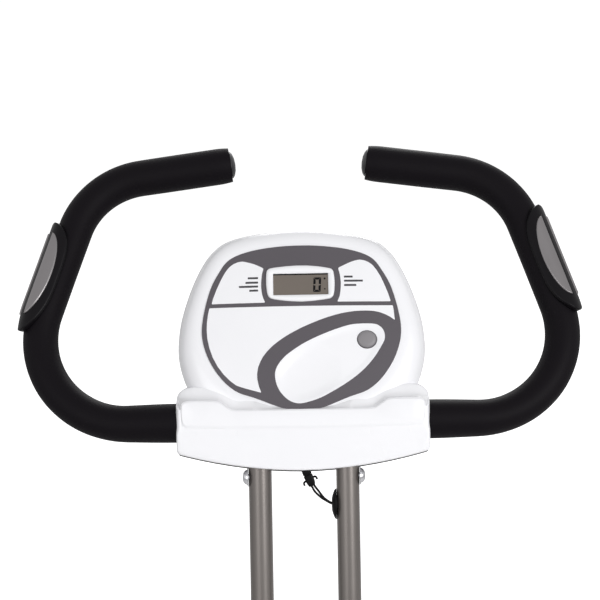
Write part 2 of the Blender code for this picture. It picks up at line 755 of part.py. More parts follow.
def make_posts():
    """The twin posts, from the rear foot past the pivot to the handlebar stubs."""
    start = REAR_FOOT + REAR_UP * 0.001
    bend = PIVOT + BEND
    top = BAR - POST_UP * POST_TOP_DROP
    path = fillet([start, bend, top], [BEND_RADIUS], [3])
    right = tube([p + X * POST_X for p in path], POST_R, "post_right", "frame_paint", 12, POST_WALL)
    bolt = BAR - POST_UP * STUB_BOLT_DROP
    near = X * (POST_X - 2 * POST_R)
    far = X * (POST_X + 2 * POST_R)
    tools = [rod(REAR_FOOT, REAR_FOOT + far, FOOT_TUBE_R + FIT),
             rod(PIVOT + near, PIVOT + far, PIVOT_BOLT_R + FIT),
             rod(bolt + near, bolt + far, STUB_BOLT_R + FIT, sides=12)]
    right = cut(right, *tools)
    left = mirror_to_left(right, "post_left")
    grommet = BAR - POST_UP * GROMMET_DROP
    right = cut(right, rod(grommet + near, grommet + X * POST_X, GROMMET_NECK_R + GROMMET_FIT, sides=12))
    return left, right


def make_seat():
    """Sleeve, seat post, clamp knob and saddle."""
    top = PIVOT + LEG_UP * LEG_TOP
    knob_spot = seat_knob_spot()
    sleeve = [(LEG_R + 0.001, SLEEVE_LIP), (LEG_R + 0.001, FIT), (SLEEVE_R, FIT), (SLEEVE_R, -SLEEVE_LENGTH),
              (SLEEVE_BORE_R, -SLEEVE_LENGTH), (SLEEVE_BORE_R, SLEEVE_LIP)]
    sleeve = turned(sleeve, top, LEG_UP, "seat_sleeve", "black_plastic")
    cut(sleeve, rod(knob_spot, knob_spot + LEG_BACK * 0.05, LOCK_BOLT_R + 2 * FIT, sides=12))
    shank = LEG_R + SEAT_BOSS - SEAT_POST_R
    star_knob(knob_spot + LEG_BACK * (LEG_R + SEAT_BOSS + FIT), LEG_BACK, CLAMP_KNOB_R, SEAT_KNOB_HEIGHT, 6,
              "seat_knob", LOCK_BOLT_R, shank)
    post = tube([PIVOT + LEG_UP * SEAT_POST_BOTTOM, PIVOT + LEG_UP * SEAT_POST_TOP], SEAT_POST_R,
                "seat_post", "chrome", 16, SEAT_POST_WALL)
    holes = []
    pitch = SEAT_TRAVEL / (SEAT_HOLES - 1)
    for i in range(SEAT_HOLES):
        spot = knob_spot - LEG_UP * (pitch * i)
        holes.append(rod(spot + LEG_BACK * 0.004, spot + LEG_BACK * 0.03, SEAT_HOLE_R, sides=6))
    cut(post, *holes)
    make_saddle()


def saddle_outline(shrink=0.0):
    """Half-width along the saddle: a broad tail drawn in to a slim nose."""
    half_nose = SADDLE_NOSE_WIDTH / 2
    half_tail = SADDLE_WIDTH / 2
    front = SADDLE_LENGTH / 2
    half = [(0, front), (half_nose * 0.72, front * 0.94), (half_nose, front * 0.72),
            (half_nose * 1.12, front * 0.36), (half_nose * 1.55, 0.0), (half_tail * 0.83, -front * 0.32),
            (half_tail, -front * 0.62), (half_tail * 0.86, -front * 0.90), (half_tail * 0.42, -front * 1.0),
            (0, -front * 0.965)]
    knots = mirrored_outline([(u, v) for u, v in half[::-1]])
    return inset(closed_spline(knots, 2), shrink)


def make_saddle():
    """Saddle cushion over its pan, with the clamp that grips the seat post."""
    top = PIVOT + LEG_UP * SEAT_POST_TOP
    centre = top + Vector((0, *SADDLE_OFFSET))

    def place(u, v, n):
        return centre + Vector((u, v, n))

    pan = prism(saddle_outline(SADDLE_PAN_INSET), 0.0, SADDLE_PAN, place, "saddle_pan", "black_plastic")
    clamp = rod(top - LEG_UP * SADDLE_CLAMP_DOWN, top + LEG_UP * SADDLE_CLAMP_TOP,
                SEAT_POST_R + SADDLE_CLAMP_WALL, sides=24)
    wide, long, deep = SADDLE_NECK
    corners = [(-wide / 2, -long / 2), (wide / 2, -long / 2), (wide / 2, long / 2), (-wide / 2, long / 2)]
    neck = prism(corners, -deep, SADDLE_PAN / 5, place)
    pan = join(pan, clamp, neck)
    cut(pan, rod(top - LEG_UP * 0.06, top + LEG_UP * (FIT * 2), SEAT_POST_R + FIT))
    rows = [(0.0, 0.17, 1.0, 1.0), (0.14, 0.04, 1.0, 1.0), (0.36, 0.0, 1.0, 1.0), (0.62, 0.03, 1.0, 1.0),
            (0.81, 0.16, 1.0, 1.0), (0.92, 0.16, 0.78, 0.93), (0.98, 0.16, 0.42, 0.80)]
    rings = []
    for share, step, wide, long in rows:
        height = SADDLE_THICK * share
        spots = [(p.x * wide, p.y * long) for p in saddle_outline(SADDLE_THICK * step)]
        rings.append([place(u, v, SADDLE_PAN + FIT + height + saddle_lift(v, share)) for u, v in spots])
    loft(rings, "saddle_cushion", "vinyl")


def saddle_lift(v, share):
    """How much the tail rises above the nose, by the place along the saddle."""
    return share * max(0.0, -v / (SADDLE_LENGTH / 2)) ** 2 * SADDLE_TAIL_RISE


def make_drive():
    """Crank bearing, axle, pulleys, belt, flywheel and magnet arm."""
    turned(ring(BEARING_R, clear_of(AXLE_R + FIT, 12), -SHELL_HALF - 0.001, SHELL_HALF + 0.001), CRANK, X,
           "crank_bearing", "steel", 12)
    rod(CRANK - X * AXLE_HALF, CRANK + X * AXLE_HALF, AXLE_R, "crank_axle", "steel")
    low = BELT_X - BELT_WIDTH / 2 - 0.001
    high = BELT_X + BELT_WIDTH / 2 + 0.001
    groove = BELT_THICK
    pulley = [(PULLEY_R - FIT, high), (PULLEY_R - FIT, low), (PULLEY_R - 0.008, low),
              (PULLEY_R - 0.010, BELT_X), (0.020, BELT_X), (0.020, low), (AXLE_R + FIT, low),
              (AXLE_R + FIT, high), (0.020, high)]
    turned(pulley, CRANK, X, "crank_pulley", "black_plastic", PULLEY_SIDES)
    inner = hull([(CRANK.y, CRANK.z, clear_of(PULLEY_R, PULLEY_SIDES)),
                  (WHEEL.y, WHEEL.z, clear_of(WHEEL_PULLEY_R, PULLEY_SIDES))], PULLEY_SIDES)
    outer = inset(inner, -groove)
    band(outer, inner, BELT_X - BELT_WIDTH / 2, BELT_X + BELT_WIDTH / 2, side_view, "drive_belt", "rubber")
    hub = 0.019
    bore = WHEEL_AXLE_R + FIT
    wheel = [(WHEEL_R, WHEEL_HALF), (WHEEL_R, -WHEEL_HALF), (WHEEL_R - 0.016, -WHEEL_HALF),
             (WHEEL_R - 0.020, -0.005), (hub, -0.005), (hub, -FORK_X + 0.001), (bore, -FORK_X + 0.001),
             (bore, FORK_X - 0.001), (WHEEL_PULLEY_R - FIT, FORK_X - 0.001),
             (WHEEL_PULLEY_R - FIT, BELT_X - BELT_WIDTH / 2 - FIT),
             (hub, BELT_X - BELT_WIDTH / 2 - FIT), (hub, 0.005), (WHEEL_R - 0.020, 0.005),
             (WHEEL_R - 0.016, WHEEL_HALF)]
    turned(wheel, WHEEL, X, "flywheel", "cast_iron", PULLEY_SIDES)
    end = FORK_X + FORK_PLATE + 0.0025
    rod(WHEEL - X * end, WHEEL + X * end, WHEEL_AXLE_R, "flywheel_axle", "steel", 12)
    make_magnet_arm()


def make_magnet_arm():
    """The curved arm whose magnets brake the flywheel rim. At rest it is lifted off."""
    inner = WHEEL_R + MAGNET_GAP
    outer = inner + MAGNET_ARM_THICK
    first = math.radians(112)
    last = math.radians(186)
    steps = 8
    spots = [first + (last - first) * i / steps for i in range(steps + 1)]
    outline = [(WHEEL.y + outer * math.cos(a), WHEEL.z + outer * math.sin(a)) for a in spots]
    outline += [(WHEEL.y + inner * math.cos(a), WHEEL.z + inner * math.sin(a)) for a in spots[::-1]]
    near = WHEEL_HALF * 0.75
    arm = prism(outline, -near - MAGNET_ARM_SKEW, near, side_view, "magnet_arm", "steel")
    hub = rod(MAGNET_PIN - X * (near + MAGNET_HUB_BACK), MAGNET_PIN + X * near, WHEEL_AXLE_R * 1.7, sides=20)
    middle = (inner + outer) / 2
    root = WHEEL + Vector((0, math.cos(math.radians(150)), math.sin(math.radians(150)))) * middle
    link_bar = prism(hull([(MAGNET_PIN.y, MAGNET_PIN.z, 0.0055), (root.y, root.z, 0.004)], 16),
                     -0.006, 0.006, side_view)
    arm = join(arm, hub, link_bar)
    cut(arm, rod(MAGNET_PIN - X * 0.03, MAGNET_PIN + X * 0.03, WHEEL_AXLE_R + FIT, sides=12))


def make_housing():
    """Two moulded shells that close over the drive and clamp round the main leg."""
    outline = hull([(CRANK.y, CRANK.z, HOUSING_CRANK_R), (WHEEL.y, WHEEL.z, HOUSING_WHEEL_R),
                    (FORK.y, FORK.z, HOUSING_FORK_R)], 20)
    profile = [(FIT / 2, 0.0), (HOUSING_HALF * 0.55, 0.0), (HOUSING_HALF * 0.80, 0.0025),
               (HOUSING_HALF * 0.94, 0.008), (HOUSING_HALF, 0.018)]
    right = shell(outline, profile, HOUSING_WALL, side_view, "housing_right", "white_plastic")
    knob, normal = knob_seat()
    tools = [rod(FRONT_FOOT, PIVOT, clear_of(LEG_R + FIT, 16)),
             rod(CRANK + X * 0.03, CRANK + X * 0.08, 0.0120),
             rod(knob - normal * 0.03, knob + normal * 0.02, 0.0050, sides=12)]
    right = cut(right, *tools)
    mirror_to_left(right, "housing_left")


def knob_seat():
    """The point on the housing's upper edge where the tension knob sits, and its normal."""
    along = WHEEL - CRANK
    slope = math.atan2(along.z, along.y) + math.asin((HOUSING_WHEEL_R - HOUSING_CRANK_R) / along.length)
    normal = Vector((0, -math.sin(slope), math.cos(slope)))
    spot = (CRANK + normal * HOUSING_CRANK_R + WHEEL + normal * HOUSING_WHEEL_R) / 2
    return spot, normal


def make_tension_knob():
    """The resistance knob on the housing, with the spindle that draws the magnet arm."""
    spot, normal = knob_seat()
    star_knob(spot + normal * 0.0006, normal, KNOB_R, KNOB_HEIGHT, 8, "tension_knob", 0.004, 0.010)


def make_cranks():
    """Crank arms, pedal axles, pedals and foot straps."""
    direction = Vector((0, math.cos(CRANK_REST), math.sin(CRANK_REST)))
    for name, side in (("right", 1), ("left", -1)):
        end = CRANK + direction * (CRANK_LENGTH * side)
        outline = hull([(CRANK.y, CRANK.z, CRANK_HUB_R), (end.y, end.z, CRANK_EYE_R)], 20)
        near = side * CRANK_INNER
        far = side * (CRANK_INNER + CRANK_THICK)
        arm = prism(outline, min(near, far), max(near, far), side_view, f"crank_{name}", "chrome")
        cut(arm, rod(CRANK + X * near * 0.9, CRANK + X * far * 1.1, AXLE_R + FIT),
            rod(end + X * near * 0.9, end + X * far * 1.1, PEDAL_AXLE_R + FIT, sides=12))
        make_pedal(name, side, end)


def make_pedal(name, side, end):
    """A moulded pedal on its own axle, with a strap over the foot."""
    out = X * side
    collar = [(0, PEDAL_OUT - 0.004), (PEDAL_AXLE_R, PEDAL_OUT - 0.004), (PEDAL_AXLE_R, PEDAL_IN - 0.0034),
              (0.0085, PEDAL_IN - 0.0034), (0.0085, CRANK_INNER + CRANK_THICK + FIT),
              (PEDAL_AXLE_R, CRANK_INNER + CRANK_THICK + FIT), (PEDAL_AXLE_R, CRANK_INNER + 0.001),
              (0, CRANK_INNER + 0.001)]
    turned(collar, end, out, f"pedal_axle_{name}", "steel", 12)
    middle = end + out * (PEDAL_IN + PEDAL_OUT) / 2
    wide = PEDAL_OUT - PEDAL_IN
    body = middle - Vector((0, 0, PEDAL_DROP))
    keel = body - Vector((0, 0, (PEDAL_THICK + PEDAL_KEEL[2]) / 2 - 0.001))
    pedal = block(body, (wide, PEDAL_LONG, PEDAL_THICK), f"pedal_{name}", "black_plastic", 0.0, 0.004)
    windows = []
    for end_side in (-1, 1):
        spot = middle + Vector((0, end_side * PEDAL_LONG * 0.29, 0))
        windows.append(block(spot, (wide * 0.62, PEDAL_LONG * 0.20, PEDAL_THICK * 2)))
    pedal = join(pedal, block(keel, PEDAL_KEEL))
    bore = rod(end + out * (PEDAL_IN - 0.01), end + out * (PEDAL_OUT - 0.003), PEDAL_AXLE_R + FIT, sides=12)
    cut(pedal, bore, *windows)
    reach = wide / 2 + FIT
    low = PEDAL_AXLE_R + 0.0015
    high = PEDAL_THICK / 2 + STRAP_RISE
    knots = [Vector((-reach, 0, low)), Vector((-reach, 0, high)), Vector((reach, 0, high)),
             Vector((reach, 0, low))]
    inner = fillet(knots, [STRAP_BEND, STRAP_BEND], [5, 5])
    thick = STRAP_THICK
    knots = [Vector((-reach - thick, 0, low)), Vector((-reach - thick, 0, high + thick)),
             Vector((reach + thick, 0, high + thick)), Vector((reach + thick, 0, low))]
    outer = fillet(knots, [STRAP_BEND + thick, STRAP_BEND + thick], [5, 5])
    outline = [(p.x, p.z) for p in outer] + [(p.x, p.z) for p in inner[::-1]]

    def place(u, v, n):
        return middle + Vector((u, n, v))

    prism(outline, -STRAP_WIDTH / 2, STRAP_WIDTH / 2, place, f"pedal_strap_{name}", "rubber")


def bar_path(steps_low=5, steps_high=4):
    """The handlebar's centre line from the middle of the bar to the right-hand end."""
    corners = [LOOP_PLANE(0, 0), LOOP_PLANE(*CORNER_LOW), LOOP_PLANE(*CORNER_HIGH), LOOP_PLANE(*BAR_END)]
    return fillet(corners, [CORNER_LOW_R, CORNER_HIGH_R], [steps_low, steps_high])


def trim_path(path, start):
    """Drop the first stretch of a path."""
    walked = 0.0
    for i, (a, b) in enumerate(zip(path, path[1:])):
        step = (b - a).length
        if walked + step > start:
            return [a.lerp(b, (start - walked) / step)] + path[i + 1:]
        walked += step
    return path


def make_handlebar():
    """The bent bar with its two stubs, the foam sleeves and the end plugs."""
    half = bar_path()
    whole = [Vector((-p.x, p.y, p.z)) for p in half[:0:-1]] + half[1:]
    bar = tube(whole, BAR_R, "handlebar_tube", "chrome", 12, BAR_WALL)
    stubs = [rod(BAR + X * POST_X * s, BAR + X * POST_X * s - POST_UP * STUB_LENGTH, STUB_R, sides=12)
             for s in (-1, 1)]
    bar = join(bar, *stubs)
    bolt = BAR - POST_UP * STUB_BOLT_DROP
    bar = cut(bar, rod(bolt - X * 0.08, bolt + X * 0.08, STUB_BOLT_R + FIT, sides=12))
    foam = tube(trim_path(half, FOAM_START), FOAM_R, "foam_grip_right", "foam", 12,
                FOAM_R - clear_of(BAR_R + FIT, 12))
    mirror_to_left(foam, "foam_grip_left")
    end = half[-1]
    outward = (half[-1] - half[-2]).normalized()
    plug = [(0, PLUG_DOME), (PLUG_R * 0.45, PLUG_DOME * 0.90), (PLUG_R * 0.80, PLUG_DOME * 0.60),
            (PLUG_R, PLUG_DOME * 0.12), (PLUG_R, FIT), (BAR_R - BAR_WALL - FIT - 0.0003, FIT),
            (BAR_R - BAR_WALL - 0.002, -0.016), (0, -0.016)]
    right = turned(plug, end, outward, "bar_plug_right", "black_plastic", 12)
    mirror_to_left(right, "bar_plug_left")
    make_pulse_sensors()


def side_line():
    """Centre line of the straight side of the loop, as a start point and a unit direction."""
    low = LOOP_PLANE(*CORNER_LOW)
    high = LOOP_PLANE(*CORNER_HIGH)
    return low, (high - low).normalized()


def wrap(start, along, lengths, spans, r_in, r_out, name, material, steps=6):
    """A curved strip wrapped on a straight bar. Angles run from outward toward the rider."""
    outward = along.cross(LOOP_OUT).normalized()
    if outward.x < 0:
        outward = -outward
    rings = []
    for length, (first, last) in zip(lengths, spans):
        centre = start + along * length
        angles = [first + (last - first) * i / steps for i in range(steps + 1)]
        edge = [centre + (outward * math.cos(a) + LOOP_OUT * math.sin(a)) * r_out for a in angles]
        edge += [centre + (outward * math.cos(a) + LOOP_OUT * math.sin(a)) * r_in for a in angles[::-1]]
        rings.append(edge)
    return loft(rings, name, material)


def make_pulse_sensors():
    """Moulded holders on the outer sides of the loops, each with two contact plates."""
    start, along = side_line()
    rise = along.dot(LOOP_PLANE(0, 1) - BAR)
    low = HOLDER_LOW / rise
    high = HOLDER_HIGH / rise
    steps = 9
    spots = [low + (high - low) * i / steps for i in range(steps + 1)]
    at_ends, at_middle = HOLDER_SPREAD
    half = [at_ends + (at_middle - at_ends) * math.sin(math.pi * i / steps) for i in range(steps + 1)]
    facets = 6
    inside = clear_of(FOAM_R + FIT, math.pi * facets / max(half))
    outside = inside + HOLDER_THICK
    holder = wrap(start, along, spots, [(-a, a) for a in half], inside, outside, "pulse_holder_right",
                  "black_plastic", facets)
    mirror_to_left(holder, "pulse_holder_left")
    spots = [low + PLATE_INSET + (high - low - 2 * PLATE_INSET) * i / steps for i in range(steps + 1)]
    near, narrow, wide = PLATE_SPREAD
    far = [near + narrow + (wide - narrow) * math.sin(math.pi * i / steps) for i in range(steps + 1)]
    plate_in = clear_of(outside + FIT, 4 * math.pi / wide)
    for facing, sign in (("front", 1), ("back", -1)):
        plate = wrap(start, along, spots, [(sign * near, sign * a) for a in far], plate_in,
                     plate_in + PLATE_THICK, f"pulse_plate_{facing}_right", "satin_plate", 2)
        mirror_to_left(plate, f"pulse_plate_{facing}_left")


def sized(half, wide, high):
    """A right-hand half outline in shares of its half-width and height, closed with its mirror image."""
    return closed_spline(mirrored_outline([(u * wide, v * high) for u, v in half]), 2)


def console_outline(grow=0.0):
    """The console body seen square on, from the bottom round to the right."""
    half = [(0, 0.02), (0.5, 0.02), (0.78, 0.06), (0.92, 0.17), (1.0, 0.366), (0.954, 0.557),
            (0.825, 0.759), (0.69, 0.889), (0.53, 0.95), (0.28, 0.987), (0, 1.0)]
    return inset(sized(half, CONSOLE_HALF, CONSOLE_TOP), -grow)


def face_outline():
    """The raised ring on the console's face, point for point with the body outline."""
    half = [(0, 0.047), (0.21, 0.05), (0.53, 0.12), (0.78, 0.20), (0.965, 0.376), (1.0, 0.588),
            (0.905, 0.765), (0.78, 0.882), (0.61, 0.947), (0.316, 0.985), (0, 1.0)]
    return sized(half, BAND_HALF, BAND_TOP)


def ring_between(share, height, squeeze=1.0, drop=0.0):
    """A ring of the console's skin, part way from the body outline to the face outline."""
    middle = Vector((0, CONSOLE_TOP * 0.48))
    points = []
    for a, b in zip(inset(console_outline(), drop), inset(face_outline(), drop)):
        p = middle + (a.lerp(b, share) - middle) * squeeze
        points.append(CONSOLE_PLANE(p.x, p.y, height))
    return points


def make_console():
    """Front and back shells, display window and push button."""
    wall = CONSOLE_WALL
    rows = [(0.0, CONSOLE_RIM, 1.0), (0.06, CONSOLE_RIM + 0.008, 1.0), (0.35, CONSOLE_RIM + 0.0145, 1.0),
            (0.72, CONSOLE_FACE - 0.0015, 1.0), (1.0, CONSOLE_FACE, 1.0), (1.0, CONSOLE_FACE + 0.0015, 0.95),
            (1.0, CONSOLE_CROWN, 0.55)]
    outer = [ring_between(share, height, squeeze) for share, height, squeeze in rows]
    inner = [ring_between(share, height - (wall if k else 0.0), squeeze, wall)
             for k, (share, height, squeeze) in enumerate(rows) if k not in (1, 3, 5)]
    front = loft(outer[::-1] + inner, "console_front", "white_plastic")
    u, v = LCD_CENTRE
    w, h = LCD_SIZE
    bezel_half = [(0, -h * 0.83), (w * 0.56, -h * 0.68), (w * 0.62, 0.0), (w * 0.57, h * 0.73), (0, h * 0.86)]
    bezel = closed_spline([(p[0] + u, p[1] + v) for p in mirrored_outline(bezel_half)], 4)
    pad = prism(bezel, CONSOLE_FACE - 0.001, CONSOLE_CROWN + 0.0022, CONSOLE_PLANE)
    bu, bv = BUTTON_CENTRE
    out = CONSOLE_PLANE(0, 0, 1) - BAR
    button_face = CONSOLE_PLANE(bu, bv, CONSOLE_FACE + 0.0035)
    front = join(front, pad)
    window = console_box(u, v, CONSOLE_CROWN, w, h, 0.02)
    hole = rod(button_face - out * 0.02, button_face + out * 0.02, BUTTON_R + FIT)
    bar_room = rod(BAR - X * 0.16, BAR + X * 0.16, clear_of(BAR_R + FIT, 16))
    cut(front, window, hole, bar_room)
    glass_top = CONSOLE_CROWN + 0.0010
    glass = console_box(u, v, glass_top - 0.0012, w - 2 * FIT, h - 2 * FIT, 0.0024)
    link(glass, "display_window", "lcd_glass")
    button = [(0, BUTTON_PROUD), (BUTTON_R * 0.86, BUTTON_PROUD), (BUTTON_R, BUTTON_PROUD - 0.0008),
              (BUTTON_R, -0.0050), (0, -0.0050)]
    turned(button, button_face, out, "console_button", "grey_plastic")
    rows = [(0.0, CONSOLE_RIM - FIT, 1.0), (0.03, CONSOLE_RIM - 0.010, 1.0), (0.30, -0.018, 1.0),
            (0.75, CONSOLE_BACK + 0.003, 1.0), (1.0, CONSOLE_BACK, 0.92)]
    outer = [ring_between(share, height, squeeze) for share, height, squeeze in rows]
    inner = [ring_between(share, height + (wall if k else 0.0), squeeze, wall)
             for k, (share, height, squeeze) in enumerate(rows) if k != 1]
    back = loft(outer[::-1] + inner, "console_back", "white_plastic")
    bar_room = rod(BAR - X * 0.16, BAR + X * 0.16, clear_of(BAR_R + FIT, 16))
    cut(back, bar_room)


def console_box(u, v, n, width, height, depth, name="tool"):
    """A box square to the console's plane."""
    bm = bmesh.new()
    bmesh.ops.create_cube(bm, size=1.0)
    bmesh.ops.scale(bm, vec=(width, height, depth), verts=bm.verts)
    turn = Matrix((X, CONSOLE_PLANE(0, 1) - BAR, CONSOLE_PLANE(0, 0, 1) - BAR)).transposed().to_4x4()
    bm.transform(Matrix.Translation(CONSOLE_PLANE(u, v, n)) @ turn)
    return object_from(bm, name, "white_plastic")


def cover_outline():
    """The cover seen along its depth: a bowed lower edge and a stepped top."""
    steps = 10
    sag = COVER_MID_LOW - COVER_SIDE_LOW
    radius = (COVER_HALF ** 2 + sag ** 2) / (2 * sag)
    points = []
    for i in range(steps + 1):
        u = COVER_HALF * (2 * i / steps - 1) * 0.985
        points.append((u, radius - COVER_MID_LOW - math.sqrt(radius ** 2 - u ** 2)))
    top = COVER_SHOULDER_TOP
    half = COVER_HALF
    points += [(half, -COVER_SIDE_LOW + COVER_CORNER), (half, top - COVER_CORNER), (half - COVER_CORNER, top),
               (half * 0.68, top), (half * 0.64, top - 0.001), (half * 0.57, COVER_MID_TOP + 0.001),
               (half * 0.53, COVER_MID_TOP)]
    points += [(-u, w) for u, w in points[:-8:-1]]
    return [Vector(p) for p in points]


def make_cover():
    """Two shells that snap together round the bar, the stubs and the post tops."""
    outline = cover_outline()
    depth = COVER_DEPTH
    halves = []
    for name, sign in (("cover_rear", 1), ("cover_front", -1)):
        profile = [(sign * FIT / 2, 0.0), (sign * depth * 0.60, COVER_EDGE * 0.2),
                   (sign * depth * 0.88, COVER_EDGE * 0.5), (sign * depth, COVER_EDGE)]
        half = shell(outline, profile, COVER_WALL, POST_PLANE, name, "white_plastic")
        tools = [rod(BAR + X * (COVER_HALF - 0.02) * s, BAR + X * (COVER_HALF + 0.02) * s, FOAM_R + FIT,
                     sides=24) for s in (-1, 1)]
        tools += [rod(BAR + X * POST_X * s - POST_UP * 0.02, BAR + X * POST_X * s - POST_UP * 0.08,
                      clear_of(POST_R + FIT, 16)) for s in (-1, 1)]
        plug = BAR + X * 0.0015
        tools.append(rod(plug - POST_UP * 0.035, plug - POST_UP * 0.055, 0.0064, sides=12))
        half = cut(half, *tools)
        grown = [[CONSOLE_PLANE(p.x, p.y, height) for p in console_outline(0.0006)]
                 for height in (CONSOLE_BACK - 0.001, CONSOLE_CROWN - 0.0015)]
        halves.append(cut(half, loft(grown, "tool", "steel")))
    return halves


def make_stub_bolts():
    """Dome-headed bolts that hold the handlebar stubs in the posts."""
    place = BAR - POST_UP * STUB_BOLT_DROP
    face = POST_X + POST_R + FIT
    inner = POST_X - POST_R + POST_WALL
    head = STUB_BOLT_HEAD
    radius = STUB_BOLT_HEAD_R
    bolt = [(0, face + head), (radius * 0.42, face + head * 0.93), (radius * 0.78, face + head * 0.62),
            (radius, face + head * 0.12), (radius, face), (STUB_BOLT_R, face), (STUB_BOLT_R, inner),
            (0, inner)]
    right = turned(bolt, place, X, "stub_bolt_right", "chrome", 12)
    mirror_to_left(right, "stub_bolt_left")


def make_lead():
    """The pulse and speed lead: a plug under the cover, a short lead, a grommet in the post."""
    start = POST_PLANE(*LEAD_PLUG_TOP)
    end = POST_PLANE(*LEAD_PLUG_END)
    along = (end - start).normalized()
    body = [(0, 0.0), (0.0042, 0.0), (0.0050, -0.0015), (0.0050, -0.0085), (0.0043, -0.0088),
            (0.0043, -0.0105), (0.0048, -0.0110), (0.0048, -0.0165), (0.0028, -0.0178), (0, -0.0178)]
    plug = turned(body, start, -along, "tool", "black_plastic", 12)
    grommet = BAR - POST_UP * GROMMET_DROP
    inner = POST_X - POST_R
    sleeve = [(GROMMET_R, -FIT), (GROMMET_R * 0.93, -0.0020), (GROMMET_NECK_R, -0.0045),
              (LEAD_R + 2 * FIT, -0.0045), (LEAD_R + 2 * FIT, 0.0040), (GROMMET_NECK_R, 0.0040),
              (GROMMET_NECK_R, -FIT)]
    sleeve = [(r, h) for r, h in reversed(sleeve)]
    flange = turned(sleeve, grommet + X * inner, X, "lead_grommet", "rubber", 12)
    for vert in flange.data.vertices:
        along_post = (vert.co - grommet).dot(POST_UP)
        across = vert.co - grommet - POST_UP * along_post
        if math.hypot(along_post, across.y, across.z) > GROMMET_R * 0.6:
            vert.co += POST_UP * along_post * (GROMMET_STRETCH - 1)
    knots = [end - along * 0.004, end + along * 0.006, POST_PLANE(0.0148, -0.0727),
             POST_PLANE(0.0200, -0.0775), grommet + X * (inner - 0.006), grommet + X * (inner + 0.002),
             grommet + X * (inner + 0.008)]
    path = []
    for i in range(len(knots) - 1):
        p0 = knots[max(i - 1, 0)]
        p1 = knots[i]
        p2 = knots[i + 1]
        p3 = knots[min(i + 2, len(knots) - 1)]
        for j in range(2):
            t = j / 2
            path.append(0.5 * (2 * p1 + (p2 - p0) * t + (2 * p0 - 5 * p1 + 4 * p2 - p3) * t * t
                               + (3 * p1 - p0 - 3 * p2 + p3) * t ** 3))
    path.append(knots[-1])
    join(tube(path, LEAD_R, "sensor_lead", "rubber", 8), plug)


def carry(name, point, pieces):
    """Hang pieces, or other empties, on an empty that stands on their joint's axis."""
    empty = bpy.data.objects.new(name, None)
    empty.location = point
    BIKE.objects.link(empty)
    bpy.context.view_layer.update()
    for piece in pieces:
        obj = bpy.data.objects[piece]
        obj.parent = empty
        obj.matrix_parent_inverse = empty.matrix_world.inverted()


make_feet()
make_main_leg()
make_pivot()
make_fold_lock()
make_quadrant()
make_posts()
make_seat()
make_drive()
make_housing()
make_tension_knob()
make_cranks()
make_handlebar()
make_console()
make_cover()
make_stub_bolts()
make_lead()


def hang_moving_bodies():
    """Parent each moving body's pieces to an empty on its joint, from the outermost body in."""
    both = ("left", "right")
    step = Vector((0, math.cos(CRANK_REST), math.sin(CRANK_REST))) * CRANK_LENGTH
    for name, side in (("right", 1), ("left", -1)):
        carry(f"pedal_axis_{name}", CRANK + step * side, [f"pedal_{name}", f"pedal_strap_{name}"])
        roller = roller_centre()
        carry(f"roller_axis_{name}", Vector((roller.x * side, roller.y, roller.z)), [f"roller_{name}"])
    carry("crank_axis", CRANK, ["crank_axle", "crank_pulley"] + [f"crank_{n}" for n in both]
          + [f"pedal_axle_{n}" for n in both] + [f"pedal_axis_{n}" for n in both])
    carry("flywheel_axis", WHEEL, ["flywheel"])
    carry("magnet_axis", MAGNET_PIN, ["magnet_arm"])
    carry("tension_axis", knob_seat()[0], ["tension_knob"])
    carry("fold_knob_axis", lock_centre(), ["fold_knob"])
    carry("seat_knob_axis", seat_knob_spot(), ["seat_knob"])
    carry("seat_slide", PIVOT + LEG_UP * SEAT_POST_TOP, ["seat_post", "saddle_pan", "saddle_cushion"])
    carry("button_axis", CONSOLE_PLANE(*BUTTON_CENTRE, CONSOLE_FACE), ["console_button"])
    paired = ["post", "rear_cap", "foam_grip", "bar_plug", "pulse_holder", "pulse_plate_front",
              "pulse_plate_back", "stub_bolt"]
    single = ["quadrant_bridge", "rear_stabiliser", "pivot_bolt", "pivot_nut", "pivot_bush",
              "handlebar_tube", "cover_front", "cover_rear", "console_front", "console_back",
              "display_window", "sensor_lead", "lead_grommet", "button_axis"]
    carry("fold_axis", PIVOT, [f"{piece}_{n}" for piece in paired for n in both] + single)


hang_moving_bodies()
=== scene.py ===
"""Folding X-frame exercise bike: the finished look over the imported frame."""
import math

import bmesh
import bpy
from mathutils import Matrix, Vector


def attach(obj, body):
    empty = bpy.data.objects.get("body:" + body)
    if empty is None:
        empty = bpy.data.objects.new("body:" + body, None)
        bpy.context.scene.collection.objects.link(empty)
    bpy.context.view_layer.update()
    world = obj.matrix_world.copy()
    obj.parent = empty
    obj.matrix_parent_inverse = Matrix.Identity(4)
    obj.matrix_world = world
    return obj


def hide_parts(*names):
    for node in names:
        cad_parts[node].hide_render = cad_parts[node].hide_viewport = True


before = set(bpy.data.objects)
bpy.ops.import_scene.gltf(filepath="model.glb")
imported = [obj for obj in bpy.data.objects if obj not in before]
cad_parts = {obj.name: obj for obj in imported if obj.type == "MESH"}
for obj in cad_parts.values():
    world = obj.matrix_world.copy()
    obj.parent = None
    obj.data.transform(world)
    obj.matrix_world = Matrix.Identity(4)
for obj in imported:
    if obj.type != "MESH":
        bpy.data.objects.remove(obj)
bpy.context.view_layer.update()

# Studio: a white floor, even daylight from all round, a key lamp in front on the right, and weaker ones
# on the left and behind, so that white plastic keeps its shading. The camera stands where the rider's
# eyes are, looking down at the handlebar with a long lens.
scene = bpy.context.scene
scene.view_settings.view_transform = "Standard"
X = Vector((1, 0, 0))
HANDLEBAR = Vector((0, 0.21070, 0.945))
CAMERA_STAND = HANDLEBAR + Vector((-0.0009, -1.0385, 0.6125))
LOOK_DOWN = math.radians(25)
CAMERA_TILT = math.radians(1.0)
DAYLIGHT = 0.46
FLOOR_HALF = 9.0


